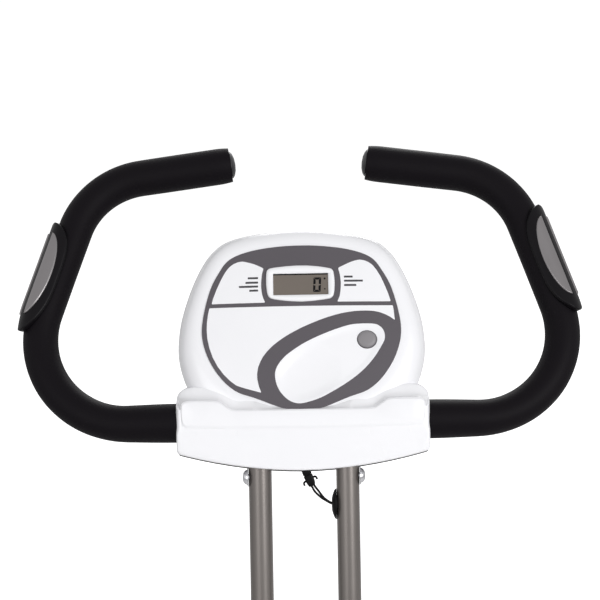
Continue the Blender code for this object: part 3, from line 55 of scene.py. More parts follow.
def srgb(code):
    """The linear colour of an sRGB hex value."""
    parts = [int(code[i:i + 2], 16) / 255 for i in (1, 3, 5)]
    return [c / 12.92 if c <= 0.04045 else ((c + 0.055) / 1.055) ** 2.4 for c in parts] + [1.0]


def add_node(tree, kind, links=None, **settings):
    """Add a node. Settings are its properties or its sockets' values, and links feed its sockets."""
    node = tree.nodes.new(kind)
    for key, value in settings.items():
        if hasattr(node, key):
            setattr(node, key, value)
        else:
            node.inputs[key.replace("_", " ")].default_value = value
    for key, source in (links or {}).items():
        tree.links.new(source, node.inputs[key])
    return node


def made(bm, name, *materials):
    """An object at the origin from a shell, which is used up."""
    mesh = bpy.data.meshes.new(name)
    bm.to_mesh(mesh)
    bm.free()
    for material in materials:
        mesh.materials.append(material)
    piece = bpy.data.objects.new(name, mesh)
    scene.collection.objects.link(piece)
    return piece


sky = bpy.data.worlds.new("studio_daylight")
sky.use_nodes = True
scene.world = sky
tree = sky.node_tree
tree.nodes.clear()
rays = add_node(tree, "ShaderNodeLightPath")
seen = rays.outputs["Is Camera Ray"]
for kind in ("Is Glossy Ray", "Is Transmission Ray"):
    seen = add_node(tree, "ShaderNodeMath", {0: seen, 1: rays.outputs[kind]}, operation="MAXIMUM").outputs[0]
daylight = add_node(tree, "ShaderNodeBackground", Color=srgb("#ffffff"), Strength=DAYLIGHT)
backdrop = add_node(tree, "ShaderNodeBackground", Color=srgb("#ffffff"), Strength=1.0)
either = add_node(tree, "ShaderNodeMixShader", {0: seen, 1: daylight.outputs[0], 2: backdrop.outputs[0]})
add_node(tree, "ShaderNodeOutputWorld", {"Surface": either.outputs[0]})

# Matt white paper: the camera sees it lifted to the backdrop's white, and it keeps the bike's shadow.
paper = bpy.data.materials.new("white_paper_floor")
paper.use_nodes = True
tree = paper.node_tree
tree.nodes.clear()
rays = add_node(tree, "ShaderNodeLightPath")
matt = add_node(tree, "ShaderNodeBsdfDiffuse", Color=srgb("#f4f4f4"))
lift = add_node(tree, "ShaderNodeEmission", {"Strength": rays.outputs["Is Camera Ray"]}, Color=srgb("#cdcdcd"))
both = add_node(tree, "ShaderNodeAddShader", {0: matt.outputs[0], 1: lift.outputs[0]})
add_node(tree, "ShaderNodeOutputMaterial", {"Surface": both.outputs[0]})
bm = bmesh.new()
bmesh.ops.create_grid(bm, x_segments=1, y_segments=1, size=FLOOR_HALF)
made(bm, "studio_floor", paper)

for name, place, aim, size, watts in (
        ("key_lamp", (1.65, -1.8, 2.15), (0, 0.15, 0.9), 1.1, 43.0),
        ("fill_lamp", (-1.4, -2.0, 2.0), (0, 0.15, 0.8), 1.4, 16.0),
        ("back_lamp", (0.3, 2.6, 1.9), (0, 0.2, 0.9), 1.2, 20.0)):
    lamp = bpy.data.lights.new(name, "AREA")
    lamp.size = size
    lamp.energy = watts
    stand = bpy.data.objects.new(name, lamp)
    stand.location = place
    stand.rotation_euler = (Vector(aim) - Vector(place)).to_track_quat("-Z", "Y").to_euler()
    scene.collection.objects.link(stand)

lens = bpy.data.cameras.new("rider_view")
lens.lens = 75
lens.sensor_width = 36
camera = bpy.data.objects.new("rider_view", lens)
away = Vector((0, -math.cos(LOOK_DOWN), math.sin(LOOK_DOWN)))
upward = away.cross(X)
right = X * math.cos(CAMERA_TILT) - upward * math.sin(CAMERA_TILT)
top = X * math.sin(CAMERA_TILT) + upward * math.cos(CAMERA_TILT)
camera.matrix_world = Matrix.Translation(CAMERA_STAND) @ Matrix((right, top, away)).transposed().to_4x4()
scene.collection.objects.link(camera)
scene.camera = camera

# Floor tubes: grey powder-coated steel, with a black polypropylene cap pushed on each end.
# The front caps have two lugs moulded on, and a rubber transport roller turns on a pin between them.
FIT = 0.0003
FRONT_FOOT = Vector((0, 0.33056, 0.025))
REAR_FOOT = Vector((0, -0.38944, 0.025))
FOOT_TUBE_R = 0.019
FOOT_HALF = 0.205
TUBE_WALL = 0.002
CAP_R = 0.027
CAP_LENGTH = 0.052
CAP_REACH = 0.018
RIB_COUNT = 5
RIB_PITCH = 0.0034
ROLLER_R = 0.020
ROLLER_HALF = 0.008
ROLLER_AHEAD = 0.049
ROLLER_LIFT = 0.004
LUG_THICK = 0.004
ON_AXIS = 1e-7


def circle(count):
    """Cosine and sine at even steps round a circle."""
    return [(math.cos(2 * math.pi * k / count), math.sin(2 * math.pi * k / count)) for k in range(count)]


def bridged(bm, low, high):
    """Join two rings of vertices with faces."""
    for i in range(len(low)):
        j = (i + 1) % len(low)
        bm.faces.new((low[i], low[j], high[j], high[i]))


def skinned(rings, closed=False):
    """Skin rings of points. The ends are capped, or joined to each other when closed."""
    bm = bmesh.new()
    rows = [[bm.verts.new(point) for point in ring] for ring in rings]
    for low, high in zip(rows, rows[1:] + rows[:1] if closed else rows[1:]):
        bridged(bm, low, high)
    if not closed:
        bm.faces.new(rows[0][::-1])
        bm.faces.new(rows[-1])
    bmesh.ops.recalc_face_normals(bm, faces=bm.faces)
    return bm


def turned(profile, origin, axis, sides=48):
    """A lathe-turned shell from (radius, height) pairs. It closes on the axis or on itself."""
    spin = axis.to_track_quat("Z", "Y").to_matrix()
    bm = bmesh.new()
    rows = []
    for radius, height in profile:
        if radius < ON_AXIS:
            rows.append([bm.verts.new(origin + spin @ Vector((0, 0, height)))] * sides)
        else:
            rows.append([bm.verts.new(origin + spin @ Vector((radius * c, radius * s, height)))
                         for c, s in circle(sides)])
    for low, high in zip(rows, rows[1:] if profile[0][0] < ON_AXIS else rows[1:] + rows[:1]):
        for i in range(sides):
            j = (i + 1) % sides
            corners = list(dict.fromkeys((low[i], low[j], high[j], high[i])))
            if len(corners) > 2:
                bm.faces.new(corners)
    bmesh.ops.recalc_face_normals(bm, faces=bm.faces)
    return bm


def pipe(radius, bore, low, high, origin, axis, sides):
    """A plain length of tube with square ends."""
    return turned([(radius, high), (radius, low), (bore, low), (bore, high)], origin, axis, sides)


def wrapped(circles, steps=96):
    """The outline of a band drawn tight round circles (y, z, radius), anticlockwise."""
    spots = sorted((y + radius * c, z + radius * s) for y, z, radius in circles for c, s in circle(steps))
    sides = []
    for run in (spots, spots[::-1]):
        chain = []
        for spot in run:
            while len(chain) > 1:
                (ay, az), (by, bz) = chain[-2:]
                if (by - ay) * (spot[1] - az) - (bz - az) * (spot[0] - ay) > 1e-12:
                    break
                chain.pop()
            chain.append(spot)
        sides += chain[:-1]
    return [Vector(spot) for spot in sides]


def shrunk(outline, distance):
    """Move an anticlockwise outline inward."""
    moved = []
    for i, point in enumerate(outline):
        before = (point - outline[i - 1]).normalized()
        after = (outline[(i + 1) % len(outline)] - point).normalized()
        inward = Vector((-before.y - after.y, before.x + after.x)).normalized()
        moved.append(point + inward * distance / max(0.5, inward.dot(Vector((-before.y, before.x)))))
    return moved


def side_ring(outline, x):
    """An outline seen from the side, at its place along X."""
    return [Vector((x, p.x, p.y)) for p in outline]


def slab(outline, low, high, edge=0.0008):
    """A plate seen from the side, pushed through along X, with rounded edges."""
    rows = [(low, edge), (low + edge * 0.3, edge * 0.3), (low + edge, 0), (high - edge, 0),
            (high - edge * 0.3, edge * 0.3), (high, edge)]
    return skinned([side_ring(shrunk(outline, step), x) for x, step in rows])


def gathered(*shells):
    """Put several closed shells into one."""
    whole = bmesh.new()
    for bm in shells:
        mesh = bpy.data.meshes.new("shell")
        bm.to_mesh(mesh)
        bm.free()
        whole.from_mesh(mesh)
        bpy.data.meshes.remove(mesh)
    return whole


def mirrored(bm, side):
    """A copy of a right-hand shell, turned into its twin for the left."""
    twin = bm.copy()
    if side == "left":
        twin.transform(Matrix.Diagonal((-1, 1, 1, 1)))
        bmesh.ops.reverse_faces(twin, faces=twin.faces)
    return twin


def finished(bm, name, material, slot, body, *nodes, sharp=38):
    """Make the object of a shell, give it its finish, and hang it on its body in its nodes' place."""
    piece = made(bm, name, material)
    piece.data.shade_smooth()
    piece.data.set_sharp_from_angle(angle=math.radians(sharp))
    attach(piece, body)
    if nodes:
        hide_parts(*nodes)
    return piece


def paired(bm, name, material, slot, body, *nodes, sharp=38):
    """Finish a right-hand shell and its twin for the left. Braces in a name stand for the side."""
    return [finished(mirrored(bm, side), name.format(side), material, slot, body.format(side),
                     *(node.format(side) for node in nodes), sharp=sharp) for side in ("right", "left")]


def skin(name, colour, roughness, grain, depth, drift=0.05, **sockets):
    """A finish with fine grain in its surface, and slow patches a little brighter and duller.

    grain is the spacing of the grain and depth its height, in metres. The grain of plastic, rubber, foam
    and ink is drawn coarser than real, from a third of a millimetre up, or it wouldn't show.
    """
    mat = bpy.data.materials.new(name)
    mat.use_nodes = True
    tree = mat.node_tree
    shader = tree.nodes["Principled BSDF"]
    for key, value in sockets.items():
        shader.inputs[key.replace("_", " ")].default_value = value
    place = add_node(tree, "ShaderNodeTexCoord").outputs["Object"]
    pits = add_node(tree, "ShaderNodeTexNoise", {"Vector": place}, Scale=1 / grain, Detail=2.0)
    relief = add_node(tree, "ShaderNodeBump", {"Height": pits.outputs[0]}, Strength=1.0, Distance=depth)
    patches = add_node(tree, "ShaderNodeTexNoise", {"Vector": place}, Scale=22.0, Detail=4.0)
    shine = add_node(tree, "ShaderNodeMapRange", {"Value": patches.outputs[0]}, To_Min=roughness - drift,
                     To_Max=roughness + drift)
    full = srgb(colour)[:3]
    tone = add_node(tree, "ShaderNodeMix", {"Factor": patches.outputs[0]}, data_type="RGBA")
    tone.inputs[6].default_value = [c * (1 - drift) for c in full] + [1]
    tone.inputs[7].default_value = [min(1, c * (1 + drift)) for c in full] + [1]
    tree.links.new(relief.outputs[0], shader.inputs["Normal"])
    tree.links.new(shine.outputs[0], shader.inputs["Roughness"])
    tree.links.new(tone.outputs[2], shader.inputs["Base Color"])
    return mat


# Polyester powder coat over steel: grey with metal flake, satin, with a faint orange peel of 1 mm.
powder_coat = skin("grey_powder_coat", "#6e6966", 0.34, 0.0011, 0.00003, Metallic=0.6)
# Polypropylene with a spark-eroded grain: black, and dull where the grain is.
cap_black = skin("moulded_polypropylene", "#1c1b1d", 0.5, 0.0007, 0.00004)
# Moulded rubber: a dark grey with hardly any shine.
roller_rubber = skin("moulded_roller_rubber", "#242326", 0.72, 0.0009, 0.00003)

inner_x = FOOT_HALF + CAP_REACH - CAP_LENGTH
for where, foot, body in (("front", FRONT_FOOT, "main_frame"), ("rear", REAR_FOOT, "handlebar_frame")):
    tube = pipe(FOOT_TUBE_R, FOOT_TUBE_R - TUBE_WALL, -FOOT_HALF, FOOT_HALF, foot, X, 56)
    finished(tube, f"floor_tube_{where}", powder_coat, "frame_paint", body, f"{where}_stabiliser")
    lip = [(FOOT_TUBE_R + FIT, 0.0), (CAP_R - 0.0008, 0.0), (CAP_R, 0.0008)]
    ribs = []
    for k in range(RIB_COUNT):
        step = 0.004 + k * RIB_PITCH
        ribs += [(CAP_R, step), (CAP_R - 0.0009, step + 0.0005), (CAP_R - 0.0009, step + 0.0013),
                 (CAP_R, step + 0.0018)]
    nose = [(CAP_R - inset, CAP_LENGTH - back) for inset, back in
            ((0, 0.014), (0.0006, 0.009), (0.0022, 0.0045), (0.0055, 0.001), (0.0100, 0))] + [(0, CAP_LENGTH)]
    bore = [(0, CAP_LENGTH - CAP_REACH + FIT), (FOOT_TUBE_R + FIT, CAP_LENGTH - CAP_REACH + FIT)]
    cap = turned(bore + lip + ribs + nose, foot + X * inner_x, X, 64)
    for vert in cap.verts:
        vert.co.z = max(vert.co.z, 0.0)
    if where == "front":
        hub = Vector((inner_x + CAP_LENGTH / 2, FRONT_FOOT.y + ROLLER_AHEAD, ROLLER_R + ROLLER_LIFT))
        lug = wrapped([(foot.y + FOOT_TUBE_R, hub.z, 0.010), (hub.y, hub.z, 0.009)], 64)
        near = ROLLER_HALF + 0.001
        pin = [(0, near + 0.0045), (0.0032, near + 0.0045), (0.004, near)]
        cap = gathered(cap, slab(lug, hub.x - near - LUG_THICK, hub.x - near),
                       slab(lug, hub.x + near, hub.x + near + LUG_THICK),
                       turned(pin + [(r, -h) for r, h in pin[::-1]], hub, X, 32))
        rim = [(0.0043, ROLLER_HALF), (0.0078, ROLLER_HALF), (0.0085, ROLLER_HALF - 0.0015),
               (0.0125, ROLLER_HALF - 0.0015), (0.0135, ROLLER_HALF), (ROLLER_R - 0.0022, ROLLER_HALF),
               (ROLLER_R, ROLLER_HALF - 0.002), (ROLLER_R, 0.0014), (ROLLER_R - 0.0009, 0.0007)]
        roller = turned(rim + [(r, -h) for r, h in rim[::-1]], hub, X, 64)
        paired(roller, "rubber_roller_{}", roller_rubber, "rubber", "roller_{}", "roller_{}")
    paired(cap, f"floor_cap_{where}_{{}}", cap_black, "black_plastic", body, f"{where}_cap_{{}}")

# Main leg: a 42 mm steel tube from the front floor tube up to the seat clamp, powder coated. The pivot
# tube, crank shell and flywheel fork are welded to it, and a rippled bead shows round each open joint.
PIVOT = Vector((0, -0.02944, 0.470))
CRANK = Vector((0, 0.10556, 0.330))
WHEEL = Vector((0, 0.23056, 0.380))
FORK = Vector((0, 0.24056, 0.245))
MAGNET_PIN = Vector((0, 0.10056, 0.418))
LEG_R = 0.021
LEG_TOP = 0.250
LEG_FOOT = 0.004
SEAT_KNOB_DROP = 0.040
SEAT_BOSS = 0.008
LOCK_DOWN = 0.072
LOCK_BOSS = 0.007
BOSS_R = 0.009
PIVOT_TUBE_R = 0.015
PIVOT_TUBE_HALF = 0.0295
BUSH_R = 0.0103
FORK_X = 0.047
FORK_PLATE = 0.003
FORK_TUBE_R = 0.011
GUSSET_DOWN = 0.268
GUSSET_R = 0.009
SHELL_R = 0.0205
SHELL_HALF = 0.034
MAGNET_LUG_DOWN = 0.128
leg_up = (PIVOT - FRONT_FOOT).normalized()
leg_back = Vector((0, -leg_up.z, leg_up.y))
seat_knob_root = PIVOT + leg_up * (LEG_TOP - SEAT_KNOB_DROP)
lock_root = PIVOT - leg_up * LOCK_DOWN


def rod(start, end, radius, sides=40, chamfer=0.0):
    """A plain round bar between two points, with its ends broken."""
    long = (end - start).length
    return turned([(0, long), (radius - chamfer, long), (radius, long - chamfer), (radius, chamfer),
                   (radius - chamfer, 0), (0, 0)], start, end - start, sides)


def across_at(spot, half, radius, sides=40, chamfer=0.0):
    """A plain round bar along X, with its middle at a spot."""
    return rod(spot - X * half, spot + X * half, radius, sides, chamfer)


def settled(piece):
    """The plain shell that an object's modifiers make of it. The object itself is used up."""
    graph = bpy.context.evaluated_depsgraph_get()
    result = bpy.data.meshes.new_from_object(piece.evaluated_get(graph), depsgraph=graph)
    source = piece.data
    piece.modifiers.clear()
    bpy.data.objects.remove(piece)
    bpy.data.meshes.remove(source)
    bm = bmesh.new()
    bm.from_mesh(result)
    bpy.data.meshes.remove(result)
    return bm


def grown(source, tree, **values):
    """Run a Geometry Nodes tree on a shell, and give back the result as a plain shell."""
    carrier = made(source, "source")
    run = carrier.modifiers.new("growth", "NODES")
    run.node_group = tree
    for item in tree.interface.items_tree:
        if item.in_out == "INPUT" and item.name in values:
            run[item.identifier] = values[item.name]
    return settled(carrier)


def new_tree(name, **sizes):
    """An empty Geometry Nodes tree that takes a geometry, some sizes and a material."""
    tree = bpy.data.node_groups.new(name, "GeometryNodeTree")
    tree.interface.new_socket("Geometry", in_out="OUTPUT", socket_type="NodeSocketGeometry")
    tree.interface.new_socket("Geometry", in_out="INPUT", socket_type="NodeSocketGeometry")
    for key, value in sizes.items():
        socket = tree.interface.new_socket(key, in_out="INPUT", socket_type="NodeSocketFloat")
        socket.default_value = value
    tree.interface.new_socket("Material", in_out="INPUT", socket_type="NodeSocketMaterial")
    return tree, add_node(tree, "NodeGroupInput")


def close_tree(tree, given, instances):
    """End a tree in real geometry with its material."""
    real = add_node(tree, "GeometryNodeRealizeInstances", {"Geometry": instances})
    coated = add_node(tree, "GeometryNodeSetMaterial",
                      {"Geometry": real.outputs[0], "Material": given.outputs["Material"]})
    add_node(tree, "NodeGroupOutput", {"Geometry": coated.outputs[0]})


def bead_tree(name, kind, long, **detail):
    """A tree that sets round beads at an even pitch on a line, each stretched along the line."""
    tree, given = new_tree(name, Pitch=0.0022, Bead=0.0027)
    line = add_node(tree, "GeometryNodeMeshToCurve", {"Mesh": given.outputs["Geometry"]})
    stops = add_node(tree, "GeometryNodeResampleCurve",
                     {"Curve": line.outputs[0], "Length": given.outputs["Pitch"]}, mode="LENGTH")
    bead = add_node(tree, kind, {"Radius": given.outputs["Bead"]}, **detail)
    heading = add_node(tree, "GeometryNodeInputTangent")
    turn = add_node(tree, "FunctionNodeAlignRotationToVector", {"Vector": heading.outputs[0]}, axis="Z")
    beads = add_node(tree, "GeometryNodeInstanceOnPoints",
                     {"Points": stops.outputs[0], "Instance": bead.outputs[0], "Rotation": turn.outputs[0]},
                     Scale=(1.0, 1.0, long))
    close_tree(tree, given, beads.outputs[0])
    return tree


def closed_line(points):
    """A closed line of edges."""
    bm = bmesh.new()
    verts = [bm.verts.new(p) for p in points]
    for pair in zip(verts, verts[1:] + verts[:1]):
        bm.edges.new(pair)
    return bm


weld_tree = bead_tree("weld_bead", "GeometryNodeMeshIcoSphere", 0.62, Subdivisions=2)


def weld(points, bead):
    """A rippled weld bead along a closed line of points."""
    return grown(closed_line(points), weld_tree, Pitch=bead * 0.85, Bead=bead, Material=powder_coat)


def joint_line(root, way, along, across, radius, main_radius, steps):
    """Where a branch tube that runs one way leaves the skin of a main tube along another."""
    return [root + along * (radius * c) + across * (radius * s)
            + way * math.sqrt(max(0.0, main_radius ** 2 - (radius * s) ** 2)) for c, s in circle(steps)]


leg_length = (PIVOT - FRONT_FOOT).length + LEG_TOP
leg = [(LEG_R, LEG_FOOT), (LEG_R, leg_length - 0.0004), (LEG_R - 0.0004, leg_length),
       (LEG_R - TUBE_WALL, leg_length), (LEG_R - TUBE_WALL, LEG_FOOT)]
parts = [turned(leg, FRONT_FOOT, leg_up, 64),
         weld(joint_line(FRONT_FOOT, leg_up, X, leg_up.cross(X), LEG_R + 0.0006, FOOT_TUBE_R, 72), 0.0032),
         pipe(PIVOT_TUBE_R, BUSH_R, -PIVOT_TUBE_HALF, PIVOT_TUBE_HALF, PIVOT, X, 48)]
fork_line = wrapped([(FORK.y, FORK.z, 0.014), (WHEEL.y, WHEEL.z, 0.013)])
for side in (-1, 1):
    parts.append(weld(joint_line(PIVOT, X * side, leg_up, leg_back, PIVOT_TUBE_R + 0.0005, LEG_R, 60), 0.0022))
    parts.append(slab(fork_line, *sorted((side * FORK_X, side * (FORK_X + FORK_PLATE))), 0.0005))
parts.append(across_at(FORK, FORK_X + 0.001, FORK_TUBE_R))
parts.append(across_at(CRANK, SHELL_HALF, SHELL_R))
parts.append(rod(PIVOT - leg_up * GUSSET_DOWN, FORK, GUSSET_R, 24))
lug_root = PIVOT - leg_up * MAGNET_LUG_DOWN
lug_line = wrapped([(MAGNET_PIN.y, MAGNET_PIN.z, 0.009), (lug_root.y, lug_root.z, 0.012)])
parts.append(slab(lug_line, -0.020, -0.016, 0.0004))
parts.append(rod(MAGNET_PIN - X * 0.018, MAGNET_PIN + X * 0.012, 0.005, 24))
parts.append(rod(lock_root - X * (LEG_R + LOCK_BOSS), lock_root + X * 0.0234, BOSS_R, 40, 0.0008))
boss_end = seat_knob_root + leg_back * (LEG_R + SEAT_BOSS)
parts.append(rod(seat_knob_root + leg_back * 0.0195, boss_end, BOSS_R, 40, 0.0008))
parts.append(weld(joint_line(seat_knob_root + leg_back * 0.0004, leg_back, leg_up, X, BOSS_R + FIT, LEG_R, 48),
                  0.0017))
finished(gathered(*parts), "welded_main_leg", powder_coat, "frame_paint", "main_frame", "main_leg")

# Drive, shut inside the housing: a cast-iron flywheel on a fixed axle, a ribbed rubber belt from the
# nylon crank pulley, and a steel arm whose magnets brake the rim. These keep their solids' own shape.
# Painted iron is dark, with the coarse grain of the casting under its paint.
cast_iron = skin("painted_cast_iron", "#3a3a3d", 0.55, 0.0024, 0.00012, Metallic=0.6)
# Belt rubber is black and dull.
belt_rubber = skin("ribbed_belt_rubber", "#1a191b", 0.7, 0.0012, 0.00004)
# Glass-filled nylon is a dark grey with a low shine.
nylon = skin("moulded_nylon_pulley", "#232225", 0.48, 0.0009, 0.00002)
# Ground bearing steel is bright, with the faintest of tool marks.
ground_steel = skin("ground_bearing_steel", "#9b9b9e", 0.26, 0.0012, 0.000006, Metallic=1.0)
# Bright zinc plate is a pale, slightly blue grey, a little duller than chrome.
zinc_steel = skin("zinc_plated_steel", "#a5a6a8", 0.34, 0.0020, 0.00001, Metallic=0.9)
for node, material in (("flywheel", cast_iron), ("drive_belt", belt_rubber), ("crank_pulley", nylon),
                       ("crank_axle", ground_steel), ("crank_bearing", ground_steel),
                       ("flywheel_axle", ground_steel), ("magnet_arm", zinc_steel), ("pivot_bush", zinc_steel)):
    for material_slot in bpy.data.objects[node].material_slots:
        material_slot.material = material

# Housing: two white ABS shells, moulded, that close over the drive and are screwed together through
# sunk bosses. Each has a shallow rim round the crank, and raised ribs over the flywheel.
HOUSING_HALF = 0.056
RIB_STEP = 0.0115
# Glossy moulded ABS: a clean white with sharp highlights and almost no grain.
white_abs = skin("glossy_moulded_abs", "#f1f1f4", 0.24, 0.0016, 0.000012, drift=0.015)
housing_line = wrapped([(CRANK.y, CRANK.z, 0.098), (WHEEL.y, WHEEL.z, 0.118), (FORK.y, FORK.z, 0.028)], 120)
rolls = [(0.00015, 0.0004), (0.0006, 0.0), (HOUSING_HALF * 0.50, 0.0)]
for k in range(1, 13):
    a = math.pi / 2 * k / 12
    rolls.append((HOUSING_HALF * 0.50 + HOUSING_HALF * 0.48 * math.sin(a), 0.0175 * (1 - math.cos(a)) ** 0.9))
rolls.append((HOUSING_HALF, 0.0215))
inside = [(0.00015, 0.0025), (0.030, 0.0027), (0.0500, 0.014), (0.0535, 0.022)]
shell = skinned([side_ring(shrunk(housing_line, step), x) for x, step in rolls[::-1] + inside])
rim = [(0.0125, -0.004), (0.0125, 0.0012), (0.0140, 0.0022), (0.0310, 0.0022), (0.0345, 0.0016),
       (0.0365, -0.0002), (0.0365, -0.004)]
boss = turned(rim, CRANK + X * HOUSING_HALF, X, 72)

rib_tree, given = new_tree("moulded_ribs", Long=0.05, Wide=0.0034, Proud=0.0022)
size = add_node(rib_tree, "ShaderNodeCombineXYZ", {"X": given.outputs["Proud"], "Y": given.outputs["Long"],
                                                   "Z": given.outputs["Wide"]})
bar = add_node(rib_tree, "GeometryNodeMeshCube", {"Size": size.outputs[0]}, Vertices_X=3, Vertices_Y=3,
               Vertices_Z=3)
round_off = add_node(rib_tree, "GeometryNodeSubdivisionSurface", {"Mesh": bar.outputs[0]}, Level=2)
lengths = add_node(rib_tree, "GeometryNodeInputNamedAttribute", data_type="FLOAT_VECTOR", Name="stretch")
ribs = add_node(rib_tree, "GeometryNodeInstanceOnPoints",
                {"Points": given.outputs["Geometry"], "Instance": round_off.outputs[0],
                 "Scale": lengths.outputs[0]})
close_tree(rib_tree, given, ribs.outputs[0])
spots = bmesh.new()
stretch = spots.verts.layers.float_vector.new("stretch")
for k in range(-4, 5):
    vert = spots.verts.new((HOUSING_HALF, WHEEL.y + 0.020, WHEEL.z + 0.004 + k * RIB_STEP))
    vert[stretch] = (1.0, math.sqrt(1 - (k / 5.2) ** 2) * 1.5, 1.0)
rib_set = grown(spots, rib_tree, Long=0.056, Wide=0.0042, Proud=0.0034, Material=white_abs)
wells = []
heads = []
for near, y, z in ((CRANK, -0.066, -0.012), (CRANK, -0.010, -0.070), (CRANK, 0.006, 0.074),
                   (WHEEL, 0.086, 0.020), (FORK, 0.002, 0.006), (WHEEL, -0.006, 0.092)):
    spot = Vector((HOUSING_HALF, near.y + y, near.z + z))
    wells.append(turned([(0.0046, -0.003), (0.0046, 0.0003), (0.0052, 0.0008), (0.0064, 0.0008),
                         (0.0070, 0.0001), (0.0070, -0.003)], spot, X, 32))
    heads.append(turned([(0, -0.0002), (0.0011, -0.0002), (0.0014, 0.0007), (0.0030, 0.0006),
                         (0.0041, 0.0001), (0.0041, -0.002), (0, -0.002)], spot, X, 24))
shell = gathered(shell, boss, rib_set, *wells)
head_set = gathered(*heads)
for side in ("right", "left"):
    finished(mirrored(shell, side), f"drive_housing_{side}", white_abs, "white_plastic", "main_frame",
             f"housing_{side}", sharp=42)
    finished(mirrored(head_set, side), f"housing_screws_{side}", zinc_steel, "steel", "main_frame", sharp=50)

# Resistance knob: black ABS with eight finger scallops, on the upper edge of the housing. Turning it
# draws the magnet arm toward the wheel.
TENSION_LOBES = 8
LOBE_STEPS = 16


def lobed(radius, height, depth, lobes, base, axis):
    """One ring of a knob with finger scallops."""
    spin = axis.to_track_quat("Z", "Y").to_matrix()
    ring = []
    for k in range(lobes * LOBE_STEPS):
        a = 2 * math.pi * k / (lobes * LOBE_STEPS)
        dip = depth * (0.5 - 0.5 * math.cos(lobes * a)) ** 1.6
        ring.append(base + spin @ Vector(((radius - dip) * math.cos(a), (radius - dip) * math.sin(a), height)))
    return ring


def star_knob(base, axis, radius, height, lobes, depth):
    """A moulded grip knob with rounded edges and a slightly hollow top."""
    rows = [(0.52, 0.0, 0.0), (0.60, 0.02, 0.1), (0.86, 0.14, 0.8), (0.90, 0.20, 1.0), (0.97, 0.72, 1.0),
            (0.99, 0.84, 1.0), (0.96, 0.92, 1.0), (0.89, 0.97, 0.9), (0.78, 1.0, 0.55), (0.62, 1.0, 0.15),
            (0.58, 0.985, 0.0), (0.52, 0.965, 0.0), (0.20, 0.955, 0.0), (0.02, 0.955, 0.0)]
    return skinned([lobed(radius * r, height * h, depth * d, lobes, base, axis) for r, h, d in rows])


# Black ABS, moulded with a fine grain: a soft, broad shine.
knob_black = skin("moulded_abs_knob", "#19181a", 0.38, 0.0008, 0.00003)
tension_base = Vector((0, 0.1135, 0.4482))
tension_way = Vector((0, -0.505, 0.863)).normalized()
tension = star_knob(tension_base + tension_way * 0.0008, tension_way, 0.0208, 0.0235, TENSION_LOBES, 0.0030)
stem = rod(tension_base - tension_way * 0.008, tension_base + tension_way * 0.003, 0.004, 24)
finished(gathered(tension, stem), "resistance_knob", knob_black, "black_plastic", "tension_knob",
         "tension_knob", sharp=50)

# Cranks: forged steel arms, polished and chrome plated, pressed on the square ends of the axle, each
# with a black dust cap. The pedal axle screws into an eye at the far end.
CRANK_LENGTH = 0.150
CRANK_NEAR = 0.0642
CRANK_FAR = 0.0760
PEDAL_OUT = 0.130
PEDAL_DROP = 0.002
STRAP_HALF = 0.0475
STRAP_TOP = 0.0652
crank_way = Vector((0, math.cos(math.radians(-25)), math.sin(math.radians(-25))))
# Chrome plate over polished steel: a mirror that shows the room in sharp light and dark.
bright_chrome = skin("polished_chrome_plate", "#c9c9cc", 0.12, 0.0012, 0.000003, Metallic=1.0)
# Grained polypropylene: black, with a dull speckled shine.
pedal_black = skin("moulded_pp_pedal", "#1c1b1d", 0.52, 0.0008, 0.00005)
# Clear amber acrylic: orange, with a wavy surface that breaks up its shine.
amber = skin("amber_reflector_lens", "#c7701c", 0.18, 0.0030, 0.0002, Coat_Weight=0.5)
# Soft PVC: dark grey and nearly matt.
strap_rubber = skin("soft_pvc_strap", "#232225", 0.6, 0.0009, 0.00003)
pip_tree, given = new_tree("tread_pips", Pip=0.0016)
pip = add_node(pip_tree, "GeometryNodeMeshCone", {"Radius Bottom": given.outputs["Pip"]}, Vertices=8,
               Radius_Top=0.0006, Depth=0.0022)
pips = add_node(pip_tree, "GeometryNodeInstanceOnPoints", {"Points": given.outputs["Geometry"],
                                                          "Instance": pip.outputs[0]})
close_tree(pip_tree, given, pips.outputs[0])


def filleted(corners, radii, steps):
    """A path through corners, each turned into an arc."""
    path = [corners[0]]
    for before, corner, after, radius in zip(corners, corners[1:], corners[2:], radii):
        inward = (before - corner).normalized()
        onward = (after - corner).normalized()
        half = inward.angle(onward) / 2
        centre = corner + (inward + onward).normalized() * (radius / math.sin(half))
        start = corner + inward * (radius / math.tan(half)) - centre
        axis = start.cross(corner + onward * (radius / math.tan(half)) - centre).normalized()
        for i in range(steps + 1):
            path.append(centre + Matrix.Rotation((math.pi - 2 * half) * i / steps, 3, axis) @ start)
    path.append(corners[-1])
    return path


def lengths_along(path):
    """The distance along a path to each of its points."""
    lengths = [0.0]
    for a, b in zip(path, path[1:]):
        lengths.append(lengths[-1] + (b - a).length)
    return lengths


def walk(path, start, spacing):
    """Points at an even spacing along a path, from a distance along it to its end."""
    lengths = lengths_along(path)
    count = max(2, round((lengths[-1] - start) / spacing))
    points = []
    k = 0
    for i in range(count + 1):
        at = start + (lengths[-1] - start) * i / count
        while k < len(path) - 2 and lengths[k + 1] < at:
            k += 1
        share = (at - lengths[k]) / (lengths[k + 1] - lengths[k])
        points.append(path[k].lerp(path[k + 1], share))
    return points


def heading_at(path, i):
    """The way a path runs at one of its points."""
    return (path[min(i + 1, len(path) - 1)] - path[max(i - 1, 0)]).normalized()


def rings_along(path, radii, sides):
    """Circles square to a path, of one radius or a list. The frame is carried along without twist."""
    rings = []
    side = None
    for i, point in enumerate(path):
        ahead = heading_at(path, i)
        side = ahead.orthogonal() if side is None else side - ahead * side.dot(ahead)
        side.normalize()
        other = ahead.cross(side)
        radius = radii[i] if isinstance(radii, list) else radii
        rings.append([point + (side * c + other * s) * radius for c, s in circle(sides)])
    return rings


